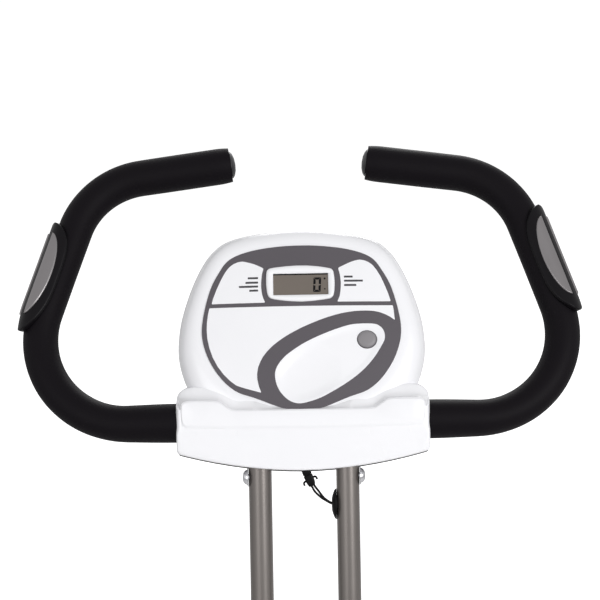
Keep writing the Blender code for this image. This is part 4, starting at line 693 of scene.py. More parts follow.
def rounded_ring(centre, across, wide, up, deep, powers, count):
    """A ring between a rectangle and an oval. It is squarer the lower its two powers are."""
    return [centre + across * (wide * math.copysign(abs(c) ** powers[0], c))
            + up * (deep * math.copysign(abs(s) ** powers[1], s)) for c, s in circle(count)]


def brick(centre, size, edge=0.002):
    """A moulded block with rounded edges."""
    bm = bmesh.new()
    bmesh.ops.create_cube(bm, size=1.0)
    bmesh.ops.scale(bm, vec=size, verts=bm.verts)
    bmesh.ops.bevel(bm, geom=bm.edges[:], offset=edge, segments=3, affect="EDGES", profile=0.5)
    bmesh.ops.translate(bm, vec=centre, verts=bm.verts)
    return bm


for side, sign in (("right", 1), ("left", -1)):
    out = X * sign
    end = CRANK + crank_way * (CRANK_LENGTH * sign)
    waist = CRANK + crank_way * (CRANK_LENGTH * sign * 0.5)
    arm_line = wrapped([(CRANK.y, CRANK.z, 0.0165), (waist.y, waist.z, 0.0128), (end.y, end.z, 0.0120)])
    arm = slab(arm_line, *sorted((sign * CRANK_NEAR, sign * CRANK_FAR)), 0.0028)
    eye = turned([(0.0065, 0.0115), (0.0100, 0.0115), (0.0108, 0.0108), (0.0108, 0.0), (0.0065, 0.0)],
                 end + X * (sign * CRANK_NEAR), out, 40)
    hub = turned([(0.0092, 0.0), (0.0160, 0.0), (0.0160, 0.0100), (0.0152, 0.0112), (0.0092, 0.0112)],
                 CRANK + X * (sign * CRANK_NEAR), out, 48)
    finished(gathered(arm, eye, hub), f"forged_crank_{side}", bright_chrome, "chrome", "crank", f"crank_{side}")
    cap = turned([(0, 0.0022), (0.0060, 0.0021), (0.0086, 0.0014), (0.0092, 0.0004), (0.0092, -0.0012),
                  (0, -0.0012)], CRANK + X * (sign * 0.0758), out, 40)
    finished(cap, f"crank_dust_cap_{side}", knob_black, "black_plastic", "crank", sharp=50)
    spindle = turned([(0, 0.107), (0.0044, 0.107), (0.0050, 0.1064), (0.0050, 0.0170), (0.0085, 0.0165),
                      (0.0085, 0.0122), (0.0050, 0.0120), (0.0050, 0.0), (0, 0.0)], end + out * 0.065, out, 40)
    finished(spindle, f"pedal_spindle_{side}", ground_steel, "steel", "crank", f"pedal_axle_{side}")

    axle_mid = end + out * PEDAL_OUT
    middle = axle_mid - Vector((0, 0, PEDAL_DROP))
    body = [rod(axle_mid - out * 0.045, axle_mid + out * 0.0455, 0.0112, 40, 0.0012)]
    for hand in (-1, 1):
        body.append(brick(middle + X * (hand * 0.0405), (0.011, 0.094, 0.021), 0.0028))
        body.append(brick(middle + Vector((0, hand * 0.0425, 0)), (0.091, 0.0105, 0.0235), 0.0026))
        body.append(brick(middle + Vector((0, hand * 0.0135, 0)), (0.074, 0.0060, 0.0200), 0.0016))
        for rib in (-0.022, 0.0, 0.022):
            body.append(brick(middle + Vector((rib, hand * 0.027, -0.002)), (0.0030, 0.024, 0.0150), 0.0008))
    body.append(brick(middle - Vector((0, 0, 0.0176)), (0.066, 0.034, 0.0126), 0.0022))
    pip_spots = bmesh.new()
    for hand in (-1, 1):
        for k in range(12):
            for row in (-0.0024, 0.0024):
                pip_spots.verts.new(middle + Vector(((k - 5.5) * 0.0068, hand * 0.0425 + row, 0.0124)))
    body.append(grown(pip_spots, pip_tree, Pip=0.0016, Material=pedal_black))
    finished(gathered(*body), f"pedal_body_{side}", pedal_black, "black_plastic", f"pedal_{side}",
             f"pedal_{side}")
    lenses = [brick(middle + Vector((0, hand * 0.0473, -0.001)), (0.050, 0.0014, 0.0130), 0.0005)
              for hand in (-1, 1)]
    finished(gathered(*lenses), f"pedal_reflectors_{side}", amber, "grey_plastic", f"pedal_{side}")

    corners = [axle_mid + Vector(spot) for spot in ((-STRAP_HALF, 0, 0.0065), (-STRAP_HALF, 0, STRAP_TOP),
                                                    (STRAP_HALF, 0, STRAP_TOP), (STRAP_HALF, 0, 0.0065))]
    arch = walk(filleted(corners, [0.031, 0.031], 14), 0.0, 0.003)
    along = Vector((0, 1, 0))
    rings = []
    for i, spot in enumerate(arch):
        outward = along.cross(heading_at(arch, i)).normalized()
        rings.append(rounded_ring(spot, along, 0.0130, outward, 0.0012, (0.25, 0.5), 24))
    studs = bmesh.new()
    for k in range(-5, 6):
        studs.verts.new(axle_mid + Vector((k * 0.0060, 0, STRAP_TOP + 0.0012)))
    strap = gathered(skinned(rings), grown(studs, pip_tree, Pip=0.0022, Material=strap_rubber))
    finished(strap, f"foot_strap_{side}", strap_rubber, "rubber", f"pedal_{side}", f"pedal_strap_{side}")

# Seat post: chrome-plated tube with a row of stop holes, sliding in a black sleeve pressed in the top of
# the leg, and clamped by a sprung knob. A polypropylene pan with its own clamp carries the saddle.
SEAT_POST_R = 0.0138
SEAT_POST_LONG = 0.310
SEAT_TOP = 0.345
HOLE_PITCH = 0.024
HOLE_R = 0.0042
post_foot = PIVOT + leg_up * 0.035
post_tube = pipe(SEAT_POST_R, SEAT_POST_R - TUBE_WALL, 0.0, SEAT_POST_LONG, post_foot, leg_up, 64)
post_tube = made(post_tube, "seat_tube")
stops = [seat_knob_root - leg_up * (HOLE_PITCH * k) for k in range(6)]
drills = [rod(spot + leg_back * 0.004, spot + leg_back * 0.03, HOLE_R, 32) for spot in stops]
drill = made(gathered(*drills), "drill")
holes = post_tube.modifiers.new("stop_holes", "BOOLEAN")
holes.object = drill
holes.solver = "EXACT"
drilled = settled(post_tube)
bpy.data.objects.remove(drill)
finished(drilled, "chromed_seat_post", bright_chrome, "chrome", "seat", "seat_post")
leg_top = PIVOT + leg_up * LEG_TOP
sleeve = turned([(0.0143, 0.0035), (0.0150, 0.0042), (0.0200, 0.0042), (0.0216, 0.0036), (0.0222, 0.0024),
                 (0.0222, 0.0003), (0.0186, 0.0003), (0.0184, -0.060), (0.0143, -0.060)], leg_top, leg_up, 64)
finished(sleeve, "post_sleeve", cap_black, "black_plastic", "main_frame", "seat_sleeve", sharp=50)
seat_knob = star_knob(boss_end + leg_back * FIT, leg_back, 0.0168, 0.0218, 6, 0.0034)
pull_stem = rod(seat_knob_root + leg_back * 0.0142, boss_end + leg_back * 0.003, 0.004, 24)
finished(gathered(seat_knob, pull_stem), "seat_clamp_knob", knob_black, "black_plastic", "seat_knob",
         "seat_knob", sharp=50)

seat_top = PIVOT + leg_up * SEAT_TOP
saddle_root = seat_top + Vector((0, -0.006, 0.030))
SADDLE_HALF = ((0, -130.3), (44.1, -135), (90.3, -121.5), (105, -83.7), (87.2, -43.2), (43.4, 0), (31.4, 48.6),
               (28, 97.2), (20.2, 126.9), (0, 135))


def both_halves(half):
    """All the knots of an even outline, from those of its right half."""
    return list(half) + [(-u, v) for u, v in half[::-1] if u > 0]


def spline_spot(p0, p1, p2, p3, t):
    """A spot between the middle two of four knots, on a smooth curve through all."""
    return 0.5 * (2 * p1 + (p2 - p0) * t + (2 * p0 - 5 * p1 + 4 * p2 - p3) * t * t
                  + (3 * p1 - p0 - 3 * p2 + p3) * t ** 3)


def curve_through(knots, per_span):
    """A smooth closed curve in metres through knots in millimetres."""
    points = []
    for i in range(len(knots)):
        four = [Vector(knots[(i + k) % len(knots)]) * 0.001 for k in (-1, 0, 1, 2)]
        points += [spline_spot(*four, j / per_span) for j in range(per_span)]
    return points


def saddle_line(shrink):
    """The saddle's outline from above, drawn in by a distance."""
    return shrunk(curve_through(both_halves(SADDLE_HALF), 8), shrink)


def on_saddle(u, v, n):
    """A point across, along and above the saddle's pan."""
    return saddle_root + Vector((u, v, n))


pan_rows = [(0.0, 0.0105), (0.0004, 0.0085), (0.0020, 0.0072), (0.0085, 0.0070), (0.0098, 0.0078),
            (0.0100, 0.0095)]
pan = skinned([[on_saddle(p.x, p.y, n) for p in saddle_line(step)] for n, step in pan_rows])
ribs = [brick(on_saddle(0, -0.004, -0.006), (0.044, 0.060, 0.030), 0.004),
        brick(on_saddle(0, 0.070, -0.003), (0.006, 0.090, 0.010), 0.001),
        brick(on_saddle(0, -0.078, -0.003), (0.120, 0.006, 0.010), 0.001)]
clamp = turned([(0.0142, 0.0), (0.0180, 0.0), (0.0193, 0.0012), (0.0193, 0.0400), (0.0142, 0.0400)],
               seat_top - leg_up * 0.034, leg_up, 56)
finished(gathered(pan, clamp, *ribs), "saddle_base", cap_black, "black_plastic", "seat", "saddle_pan", sharp=42)
pinch = across_at(seat_top - leg_up * 0.022, 0.023, 0.0045, 24, 0.0006)
finished(pinch, "saddle_clamp_bolt", zinc_steel, "steel", "seat")

# Saddle: moulded polyurethane foam under black vinyl, sewn at a welted seam low on the side. The nose is
# slim, the tail is broad, and the two sit pads stand proud of a shallow channel.
SADDLE_BASE = 0.0103
CUSHION_TALL = 0.0565
TAIL_FROM = 0.135
TAIL_RISE = 0.0095
# Embossed vinyl: near black and matt, with a leather grain and a faint bloom at the edges. The grain is
# drawn coarser and flatter than real, 1.4 mm apart, so that it doesn't glitter.
vinyl = skin("grained_black_vinyl", "#1b1a1c", 0.52, 0.0014, 0.00004, Sheen_Weight=0.04,
             Specular_IOR_Level=0.25)
cushion_rows = [(0.0000, 0.0085, 1.0, 1.0), (0.0030, 0.0045, 1.0, 1.0), (0.0070, 0.0022, 1.0, 1.0),
                (0.0120, 0.0008, 1.0, 1.0), (0.0180, 0.0000, 1.0, 1.0), (0.0250, 0.0002, 1.0, 1.0),
                (0.0320, 0.0016, 1.0, 1.0), (0.0385, 0.0044, 1.0, 1.0), (0.0440, 0.0082, 1.0, 1.0),
                (0.0484, 0.0095, 0.90, 0.965), (0.0514, 0.0095, 0.78, 0.925), (0.0534, 0.0095, 0.64, 0.88),
                (0.0548, 0.0095, 0.48, 0.83), (0.0556, 0.0095, 0.32, 0.78), (0.0560, 0.0095, 0.16, 0.74),
                (0.0561, 0.0095, 0.04, 0.70)]


def smooth_share(t):
    """An even change from 0 to 1 that starts and stops gently."""
    t = max(0.0, min(1.0, t))
    return t * t * (3 - 2 * t)


def sit_shape(u, v):
    """How far the top stands above or below an even crown: sit pads, and a channel down the middle."""
    pads = 0.0030 * math.exp(-((abs(u) - 0.055) / 0.024) ** 2 - ((v + 0.075) / 0.034) ** 2)
    channel = 0.0040 * math.exp(-(u / 0.011) ** 2)
    return pads - channel * smooth_share((v + 0.115) / 0.03) * smooth_share((0.085 - v) / 0.04)


rings = []
for height, step, wide, long in cushion_rows:
    ring = []
    for p in saddle_line(step):
        u, v = p.x * wide, p.y * long
        share = height / CUSHION_TALL
        lift = share * max(0.0, -v / TAIL_FROM) ** 2 * TAIL_RISE
        lift += sit_shape(u, v) * smooth_share((share - 0.72) / 0.24)
        ring.append(on_saddle(u, v, SADDLE_BASE + height + lift))
    rings.append(ring)
cushion = finished(skinned(rings), "vinyl_saddle", vinyl, "vinyl", "seat", "saddle_cushion", sharp=80)
piping_line = [on_saddle(p.x, p.y, SADDLE_BASE + 0.0052) for p in saddle_line(0.0028)]
piping = skinned(rings_along(piping_line + piping_line[:1], 0.0017, 12)[:-1], closed=True)
finished(piping, "saddle_piping", vinyl, "vinyl", "seat")
# Bonded thread: dark grey, so that the seam shows as a fine broken line on the vinyl.
thread_grey = skin("bonded_polyester_thread", "#3b393d", 0.6, 0.0004, 0.00002)
stitch_tree = bead_tree("running_stitch", "GeometryNodeMeshUVSphere", 3.0, Segments=8, Rings=6)
seam = closed_line([on_saddle(p.x, p.y, SADDLE_BASE + 0.0095) for p in saddle_line(0.0013)])
finished(grown(seam, stitch_tree, Pitch=0.0046, Bead=0.00052, Material=thread_grey), "saddle_stitching",
         thread_grey, "vinyl", "seat")

# Twin posts: 22 mm steel tubes, bent once just above the fold pivot and powder coated grey. They are
# welded to the rear floor tube, and each slips over a stub of the handlebar under the cover.
POST_LEAN = math.radians(25)
POST_X = 0.0420
POST_R = 0.0111
POST_WALL = 0.0016


def leaning(lean):
    """Map across, up and toward the rider, in a plane through the bar, to the world."""
    up = Vector((0, math.sin(lean), math.cos(lean)))
    out = Vector((0, -math.cos(lean), math.sin(lean)))

    def place(u, v, n=0.0):
        """A spot by its three measures in the plane."""
        return HANDLEBAR + Vector((u, 0, 0)) + up * v + out * n

    return place


rear_up = (PIVOT - REAR_FOOT).normalized()
post_plane = leaning(POST_LEAN)
post_up = (post_plane(0, 1) - HANDLEBAR).normalized()
bend = PIVOT + Vector((0, -leg_up.y, leg_up.z)) * 0.070
post_line = filleted([REAR_FOOT + rear_up * 0.012, bend, HANDLEBAR - post_up * 0.024], [0.150], 20)
post_line = [p + X * POST_X for p in walk(post_line, 0.0, 0.012)]
bore = rings_along(post_line, POST_R - POST_WALL, 48)
post = skinned(rings_along(post_line, POST_R, 48) + bore[::-1], closed=True)
foot_joint = joint_line(REAR_FOOT + X * POST_X, rear_up, X, rear_up.cross(X), POST_R + 0.0004, FOOT_TUBE_R, 72)
paired(gathered(post, weld(foot_joint, 0.0024)), "steel_post_{}", powder_coat, "frame_paint", "handlebar_frame",
       "post_{}")

# Fold pivot: a chrome bolt and dome nut through both posts and the leg's pivot tube. Below it a slotted
# quadrant is welded between the posts, and the clamp knob's bolt crosses the leg and the slot.
POST_FACE = POST_X + POST_R + FIT
FOLD_TURN = math.radians(34)
QUADRANT_X = 0.0255
QUADRANT_HALF = 0.0015
QUADRANT_IN = 0.056
QUADRANT_OUT = 0.088
SLOT_HALF = 0.0046
BRIDGE_DOWN = 0.078
BRIDGE_R = 0.008


def cornered(knots, radius=1.4, scale=0.001):
    """A closed outline that keeps its corners, each rounded a little."""
    spots = [Vector(k) for k in knots]
    out = []
    for i, corner in enumerate(spots):
        before = spots[i - 1]
        after = spots[(i + 1) % len(spots)]
        reach_in = min(radius, (before - corner).length * 0.45)
        reach_out = min(radius, (after - corner).length * 0.45)
        start = corner + (before - corner).normalized() * reach_in
        end = corner + (after - corner).normalized() * reach_out
        for step in range(5):
            t = step / 4
            out.append((start * (1 - t) ** 2 + corner * 2 * t * (1 - t) + end * t * t) * scale)
    return out


def sheeted(loops, spacing=0.0):
    """A flat sheet inside the first loop, less the other loops, cut on a lattice so that it can bend."""
    bm = bmesh.new()
    edges = []
    for loop in loops:
        verts = [bm.verts.new((p.x, p.y, 0.0)) for p in loop]
        edges += [bm.edges.new(pair) for pair in zip(verts, verts[1:] + verts[:1])]
    bmesh.ops.triangle_fill(bm, edges=edges, use_beauty=True)
    for axis in (0, 1) if spacing else ():
        low = min(v.co[axis] for v in bm.verts)
        high = max(v.co[axis] for v in bm.verts)
        normal = Vector((1 - axis, axis, 0))
        for k in range(1, int((high - low) / spacing) + 1):
            bmesh.ops.bisect_plane(bm, geom=bm.verts[:] + bm.edges[:] + bm.faces[:],
                                   plane_co=normal * (low + k * spacing), plane_no=normal)
    return bm


def thickened(sheet, place):
    """Make a solid of a flat sheet. place gives a corner's spot from its two measures and its side, -1 or 1."""
    pulled = bmesh.ops.extrude_face_region(sheet, geom=sheet.faces[:])
    top = {item for item in pulled["geom"] if isinstance(item, bmesh.types.BMVert)}
    for vert in sheet.verts:
        vert.co = place(vert.co.x, vert.co.y, 1 if vert in top else -1)
    bmesh.ops.recalc_face_normals(sheet, faces=sheet.faces)
    return sheet


def arc(radius, turns, about=(0, 0)):
    """Points on an arc, by the angles along it."""
    return [Vector((about[0] + radius * math.cos(a), about[1] + radius * math.sin(a))) for a in turns]


def slot_end(angle, start):
    """The half circle that closes the slot, at an angle round the pivot."""
    about = (LOCK_DOWN * math.cos(angle), LOCK_DOWN * math.sin(angle))
    return arc(SLOT_HALF, [start + math.pi * i / 12 for i in range(1, 12)], about)


bolt = turned([(0, -0.0066), (0.0050, -0.0063), (0.0082, -0.0052), (0.0098, -0.0034), (0.0105, -0.0012),
               (0.0105, 0.0), (0.0050, 0.0), (0.0050, 2 * POST_FACE + 0.0060), (0, 2 * POST_FACE + 0.0060)],
              PIVOT - X * POST_FACE, X, 56)
nut_shell = turned([(0, 0.0108), (0.0036, 0.0104), (0.0066, 0.0090), (0.0080, 0.0068), (0.0084, 0.0058),
                    (0.0101, 0.0052), (0.0105, 0.0044), (0.0105, 0.0008), (0.0101, 0.0), (0, 0.0)],
                   PIVOT + X * POST_FACE, X, 6)
finished(bolt, "fold_pivot_bolt", bright_chrome, "chrome", "handlebar_frame", "pivot_bolt", sharp=50)
finished(nut_shell, "fold_dome_nut", bright_chrome, "chrome", "handlebar_frame", "pivot_nut", sharp=25)
bridge_at = PIVOT - rear_up * BRIDGE_DOWN
bridge = across_at(bridge_at, POST_X - POST_R + 0.0004, BRIDGE_R, 48)
start_angle = math.atan2(-rear_up.z, -rear_up.y) - math.radians(7)
sweep_angle = math.acos(rear_up.dot(leg_up)) + math.radians(16)
turns = [start_angle + sweep_angle * i / 60 for i in range(61)]
edge = cornered(arc(QUADRANT_OUT, turns) + arc(QUADRANT_IN, turns[::-1]), 0.0016, 1.0)
first = math.atan2(-leg_up.z, -leg_up.y) - FOLD_TURN
slot_turns = [first + FOLD_TURN * i / 30 for i in range(31)]
slot = arc(LOCK_DOWN + SLOT_HALF, slot_turns) + slot_end(slot_turns[-1], slot_turns[-1])
slot += arc(LOCK_DOWN - SLOT_HALF, slot_turns[::-1]) + slot_end(first, first + math.pi)
quadrant = thickened(sheeted([edge, slot]),
                     lambda y, z, side: PIVOT + Vector((QUADRANT_X + QUADRANT_HALF * side, y, z)))
welds = []
for side in (-1, 1):
    post_mid = bridge_at + X * (side * POST_X)
    ring = joint_line(post_mid, X * -side, rear_up, X.cross(rear_up), BRIDGE_R + FIT, POST_R, 48)
    welds.append(weld(ring, 0.0018))
plate_joint = [bridge_at + X * 0.0274 + Vector((0, 0.0084 * c, 0.0084 * s)) for c, s in circle(40)]
welds.append(weld(plate_joint, 0.0013))
finished(gathered(bridge, quadrant, *welds), "slotted_quadrant", powder_coat, "frame_paint", "handlebar_frame",
         "quadrant_bridge")
lock_base = lock_root - X * (LEG_R + LOCK_BOSS + FIT)
fold_knob = star_knob(lock_base, -X, 0.0168, 0.0198, 6, 0.0034)
finished(fold_knob, "fold_clamp_knob", knob_black, "black_plastic", "fold_knob", "fold_knob", sharp=50)
through = turned([(0, -0.0040), (0.0040, -0.0040), (0.0040, 0.0562), (0.0080, 0.0564), (0.0080, 0.0572),
                  (0.0070, 0.0584), (0.0048, 0.0594), (0, 0.0596)], lock_base, X, 40)
finished(through, "fold_clamp_bolt", zinc_steel, "steel", "fold_knob", sharp=50)

# Handlebar: one bent steel tube, chrome plated where it is bare, with long black sleeves of closed-cell
# nitrile foam pushed on from each end up to the cover, and a domed plastic plug in each open end.
# Pushing it on stretches the foam, so it is a little thinner round the lower bend than on the arms.
LOOP_LEAN = math.radians(44)
BAR_R = 0.0127
FOAM_START = 0.108
FOAM_STEP = 0.0035
END_ROLL = 4
FOAM_SPOTS = ((0.0, 0.0188), (0.12, 0.0188), (0.20, 0.0171), (0.36, 0.0171), (0.56, 0.0185), (9.0, 0.0185))
LOOP_CORNERS = ((0.0, 0.0), (0.2864, 0.0), (0.2124, 0.2506), (0.0700, 0.2712))
LOOP_BENDS = (0.089, 0.080)


def foam_at(distance):
    """The sleeve's radius, by distance along the bar from its middle."""
    for (low, thin), (high, thick) in zip(FOAM_SPOTS, FOAM_SPOTS[1:]):
        if distance <= high:
            t = (distance - low) / (high - low)
            return thin + (thick - thin) * t * t * (3 - 2 * t)
    return FOAM_SPOTS[-1][1]


def softened(points, radius, steps=4):
    """Round the inner corners of a profile, each by no more than its sides allow."""
    out = [Vector(points[0])]
    for before, corner, after in zip(points, points[1:], points[2:]):
        before, corner, after = Vector(before), Vector(corner), Vector(after)
        reach = min(radius, (before - corner).length * 0.45, (after - corner).length * 0.45)
        start = corner + (before - corner).normalized() * reach
        end = corner + (after - corner).normalized() * reach
        for i in range(steps + 1):
            t = i / steps
            out.append(start * (1 - t) ** 2 + corner * 2 * t * (1 - t) + end * t * t)
    return out + [Vector(points[-1])]


loop_plane = leaning(LOOP_LEAN)
bar_line = filleted([loop_plane(*c) for c in LOOP_CORNERS], LOOP_BENDS, 32)
sleeve_line = walk(bar_line, FOAM_START, FOAM_STEP)
# Nitrile foam: a deep black that hardly shines, with the fine pits of its skin.
foam_rubber = skin("nitrile_foam_sleeve", "#0e0b0f", 0.55, 0.00035, 0.00006, Specular_IOR_Level=0.07)
outer = [foam_at(FOAM_START + FOAM_STEP * i) for i in range(len(sleeve_line))]
for i in range(END_ROLL):
    outer[-1 - i] -= 0.0011 * (1 - i / END_ROLL) ** 2
bore = rings_along(sleeve_line, BAR_R + FIT, 40)
sleeve = skinned(rings_along(sleeve_line, outer, 40) + bore[::-1], closed=True)
for grip in paired(sleeve, "grip_{}", foam_rubber, "foam", "handlebar_frame", "foam_grip_{}"):
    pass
bpy.data.objects["handlebar_tube"].material_slots[0].material = bright_chrome

# Moulded polyethylene: black, with a soft waxy shine.
plug_black = skin("moulded_pe_plug", "#17161a", 0.42, 0.0006, 0.00002)
plug_shape = softened([(0, 0.0050), (0.0062, 0.0045), (0.0112, 0.0029), (0.0138, 0.0008), (0.0138, 0.0002),
                       (0.0107, 0.0002), (0.0104, -0.016), (0, -0.016)], 0.0008)
plug = turned(plug_shape, bar_line[-1], (bar_line[-1] - bar_line[-2]).normalized(), 48)
paired(plug, "end_plug_{}", plug_black, "black_plastic", "handlebar_frame", "bar_plug_{}")
# Pulse sensors: a black ABS holder clipped round the outer side of each loop and turned toward the
# rider, with two pressed stainless plates on it, one for the palm and one for the finger tips.
HOLDER_LOW = 0.1050
HOLDER_HIGH = 0.2171
HOLDER_THICK = 0.0030
HOLDER_SWELL = 0.85
HOLDER_GAP = 0.0004
PLATE_MID = 0.0010
PLATE_INSET = 0.0130
BEND_FOAM_R = 0.0171
low_corner = loop_plane(*LOOP_CORNERS[1])
side_way = (loop_plane(*LOOP_CORNERS[2]) - low_corner).normalized()
loop_out = (loop_plane(0, 0, 1) - HANDLEBAR).normalized()
sideways = side_way.cross(loop_out).normalized()
sideways *= math.copysign(1, sideways.x)
side_start = max(range(len(bar_line) - 1), key=lambda i: (bar_line[i + 1] - bar_line[i]).dot(side_way))
lengths_to = lengths_along(bar_line)


def bar_spot(at):
    """The bar's centre, by distance along it."""
    k = max(i for i, so_far in enumerate(lengths_to[:-1]) if so_far <= at)
    return bar_line[k].lerp(bar_line[k + 1], (at - lengths_to[k]) / (lengths_to[k + 1] - lengths_to[k]))


def round_the_bar(length, turn, angle, height):
    """A point by its place along the loop, the holder's turn, its angle on it and its height on the foam."""
    at = lengths_to[side_start] + length - (bar_line[side_start] - low_corner).length
    ahead = (bar_spot(at + 0.005) - bar_spot(at - 0.005)).normalized()
    outward = ahead.cross(loop_out).normalized()
    outward *= math.copysign(1, outward.dot(sideways))
    away = outward * math.cos(turn + angle) + loop_out * math.sin(turn + angle)
    return bar_spot(at) + away * (foam_at(at) + height * (1 + HOLDER_SWELL * max(0.0, math.cos(angle)) ** 2))


def pillow(lengths, middle, turn, span_at, inner, outer, edge, steps):
    """A strip wrapped on the bar, with its edges rolled over. span_at gives both its edge angles."""
    rings = []
    for length in lengths:
        first, last = span_at(length)
        across = [i / steps for i in range(steps + 1)]
        top = []
        for share in across:
            run = min(share, 1 - share) * abs(last - first) * (outer + BEND_FOAM_R)
            rise = 1.0 if run >= edge else math.sqrt(max(0.0, 1 - (1 - run / edge) ** 2))
            angle = first + (last - first) * share
            top.append(round_the_bar(middle + length, turn, angle, inner + (outer - inner) * rise))
        under = [round_the_bar(middle + length, turn, first + (last - first) * share, inner)
                 for share in across[::-1]]
        rings.append(top + under[1:-1])
    return skinned(rings)


def eased(low, high, count, sharp=2.0):
    """Numbers from low to high, close together at both ends."""
    steps = [i / count for i in range(count + 1)]
    return [low + (high - low) * (t ** sharp / (t ** sharp + (1 - t) ** sharp)) for t in steps]


holder_half = (HOLDER_HIGH - HOLDER_LOW) / 2


def holder_span(length):
    """The holder's two edge angles, by distance from its middle. It narrows to round ends."""
    t = min(1.0, abs(length) / holder_half)
    half = math.radians(4 + 67 * (1 - t ** 3.2) ** 0.6)
    return -half, half


plate_half = holder_half - PLATE_INSET


def plate_span(sign):
    """The same for one plate of the pair. Each keeps 10 degrees off the holder's middle line."""
    def span(length):
        """A plate's two edge angles at a distance from its middle."""
        t = min(1.0, abs(length - PLATE_MID) / plate_half)
        near = math.radians(10)
        wide = math.radians(1.0 + 38 * (1 - t * t) ** 0.55)
        return (near, near + wide) if sign > 0 else (-near - wide, -near)

    return span


# Moulded ABS: a deep black with a soft shine.
holder_black = skin("moulded_abs_holder", "#0e0c0f", 0.36, 0.0008, 0.00003, Specular_IOR_Level=0.1)
# Pressed stainless steel: a darker grey than chrome, and satin.
pressed_steel = skin("pressed_stainless_plate", "#7d7a7b", 0.33, 0.0006, 0.000012, Metallic=1.0)
seat_r = HOLDER_GAP + HOLDER_THICK
for side, degrees, lower in (("right", 46, 0.0), ("left", 38, 0.0092)):
    turn = math.radians(degrees)
    middle = (HOLDER_LOW + HOLDER_HIGH) / 2 - lower
    holder = pillow(eased(-holder_half, holder_half, 60), middle, turn, holder_span, HOLDER_GAP, seat_r, 0.0026, 48)
    finished(mirrored(holder, side), f"pulse_housing_{side}", holder_black, "black_plastic", "handlebar_frame",
             f"pulse_holder_{side}", sharp=60)
    for face, sign in (("front", 1), ("back", -1)):
        lengths = eased(PLATE_MID - plate_half, PLATE_MID + plate_half, 48)
        plate = pillow(lengths, middle, turn, plate_span(sign), seat_r - 0.0003, seat_r + 0.0007, 0.0011, 20)
        finished(mirrored(plate, side), f"pulse_contact_{face}_{side}", pressed_steel, "satin_plate",
                 "handlebar_frame", f"pulse_plate_{face}_{side}", sharp=60)

# Console: two shells of white ABS, moulded glossy and screwed together from behind. Its face is a low
# dome, printed with grey bands, and has a shallow hollow round the one button.
CONSOLE_LEAN = math.radians(40)
RIM = 0.002
FACE = 0.020
CROWN = 0.0245
BACK = -0.028
SHELL_WALL = 0.0025
console_plane = leaning(CONSOLE_LEAN)
BODY = ((0, 4), (60, 4), (94, 12), (109, 30), (116.5, 48), (120, 69), (117.8, 97), (109.3, 127.5),
        (98.3, 153), (86.3, 170), (69.5, 181.5), (36.5, 188.8), (0, 191.8))
BAND = ((0, 7.5), (17, 8.6), (44, 18.8), (63.4, 26.2), (79.1, 40.8), (91.5, 63), (95.8, 88), (89, 122.5),
        (79.6, 143.1), (69, 156.8), (50, 164.6), (24.9, 168.7), (0, 169.9))
EGG = ((-25.9, 39.6), (-24.5, 31.9), (-21.1, 24.8), (-16.1, 19), (-11, 15.4), (-5.4, 13.6), (0, 13.6),
       (6.7, 15.1), (14.4, 17.5), (23.3, 21.5), (41.4, 31.9), (57, 43.5), (68.9, 56.4), (78, 70.7),
       (79.9, 76.9), (79, 82.5), (75.7, 86.9), (69.9, 89.4), (57, 89.7), (44.1, 88), (23.4, 81),
       (2.6, 71.5), (-12.9, 61.3), (-19.4, 55.2), (-23.5, 49.6), (-25.4, 44.8))


def inside_by(point, outline):
    """How far a point is inside an outline. It is negative outside."""
    nearest = 9.0
    within = False
    for a, b in zip(outline, outline[1:] + outline[:1]):
        side = b - a
        share = max(0.0, min(1.0, (point - a).dot(side) / side.length_squared))
        nearest = min(nearest, (a + side * share - point).length)
        if (a.y > point.y) != (b.y > point.y) and point.x < a.x + side.x * (point.y - a.y) / side.y:
            within = not within
    return nearest if within else -nearest


body_line = curve_through(both_halves(BODY), 8)
band_line = curve_through(both_halves(BAND), 8)
egg_line = curve_through(EGG, 5)
egg_coarse = egg_line[::3]
DOME_MID = Vector((0, 0.090))
DOME_HALF = Vector((0.105, 0.092))
LCD_MID = Vector((0, 0.1297))
WINDOW_HALF = Vector((0.0285, 0.0125))
THUMB_MID = Vector((0.006, 0.044))
THUMB_R = 0.031
BUTTON_MID = Vector((0.0626, 0.0743))


def face_height(u, v):
    """Height of the face over the console's plane: a dome, with a hollow inside the egg shape."""
    spot = Vector((u, v))
    away = spot - DOME_MID
    dome = max(0.0, 1 - (away.x / DOME_HALF.x) ** 2 - (away.y / DOME_HALF.y) ** 2)
    height = FACE + (CROWN - FACE) * dome
    if -0.03 < u < 0.084 and 0.008 < v < 0.095:
        depth = inside_by(spot, egg_coarse)
        height -= 0.0012 * smooth_share(depth / 0.006)
        hollow = 1 - ((spot - THUMB_MID).length / THUMB_R) ** 2
        height -= 0.0032 * max(0.0, hollow) * smooth_share(depth / 0.010)
    window = max(abs(u - LCD_MID.x) - WINDOW_HALF.x, abs(v - LCD_MID.y) - WINDOW_HALF.y)
    return height - 0.0030 * smooth_share(-window / 0.0015)


def between(share, squeeze=1.0):
    """A ring part way from the body's outline to the band's, then drawn toward the middle."""
    return [DOME_MID + (a.lerp(b, share) - DOME_MID) * squeeze for a, b in zip(body_line, band_line)]


def shoulder(share):
    """The shell's height between its rim and the band: steep at the rim, then a long slope."""
    return RIM + (FACE - RIM) * (1 - (1 - share) ** 2.6) ** 0.62


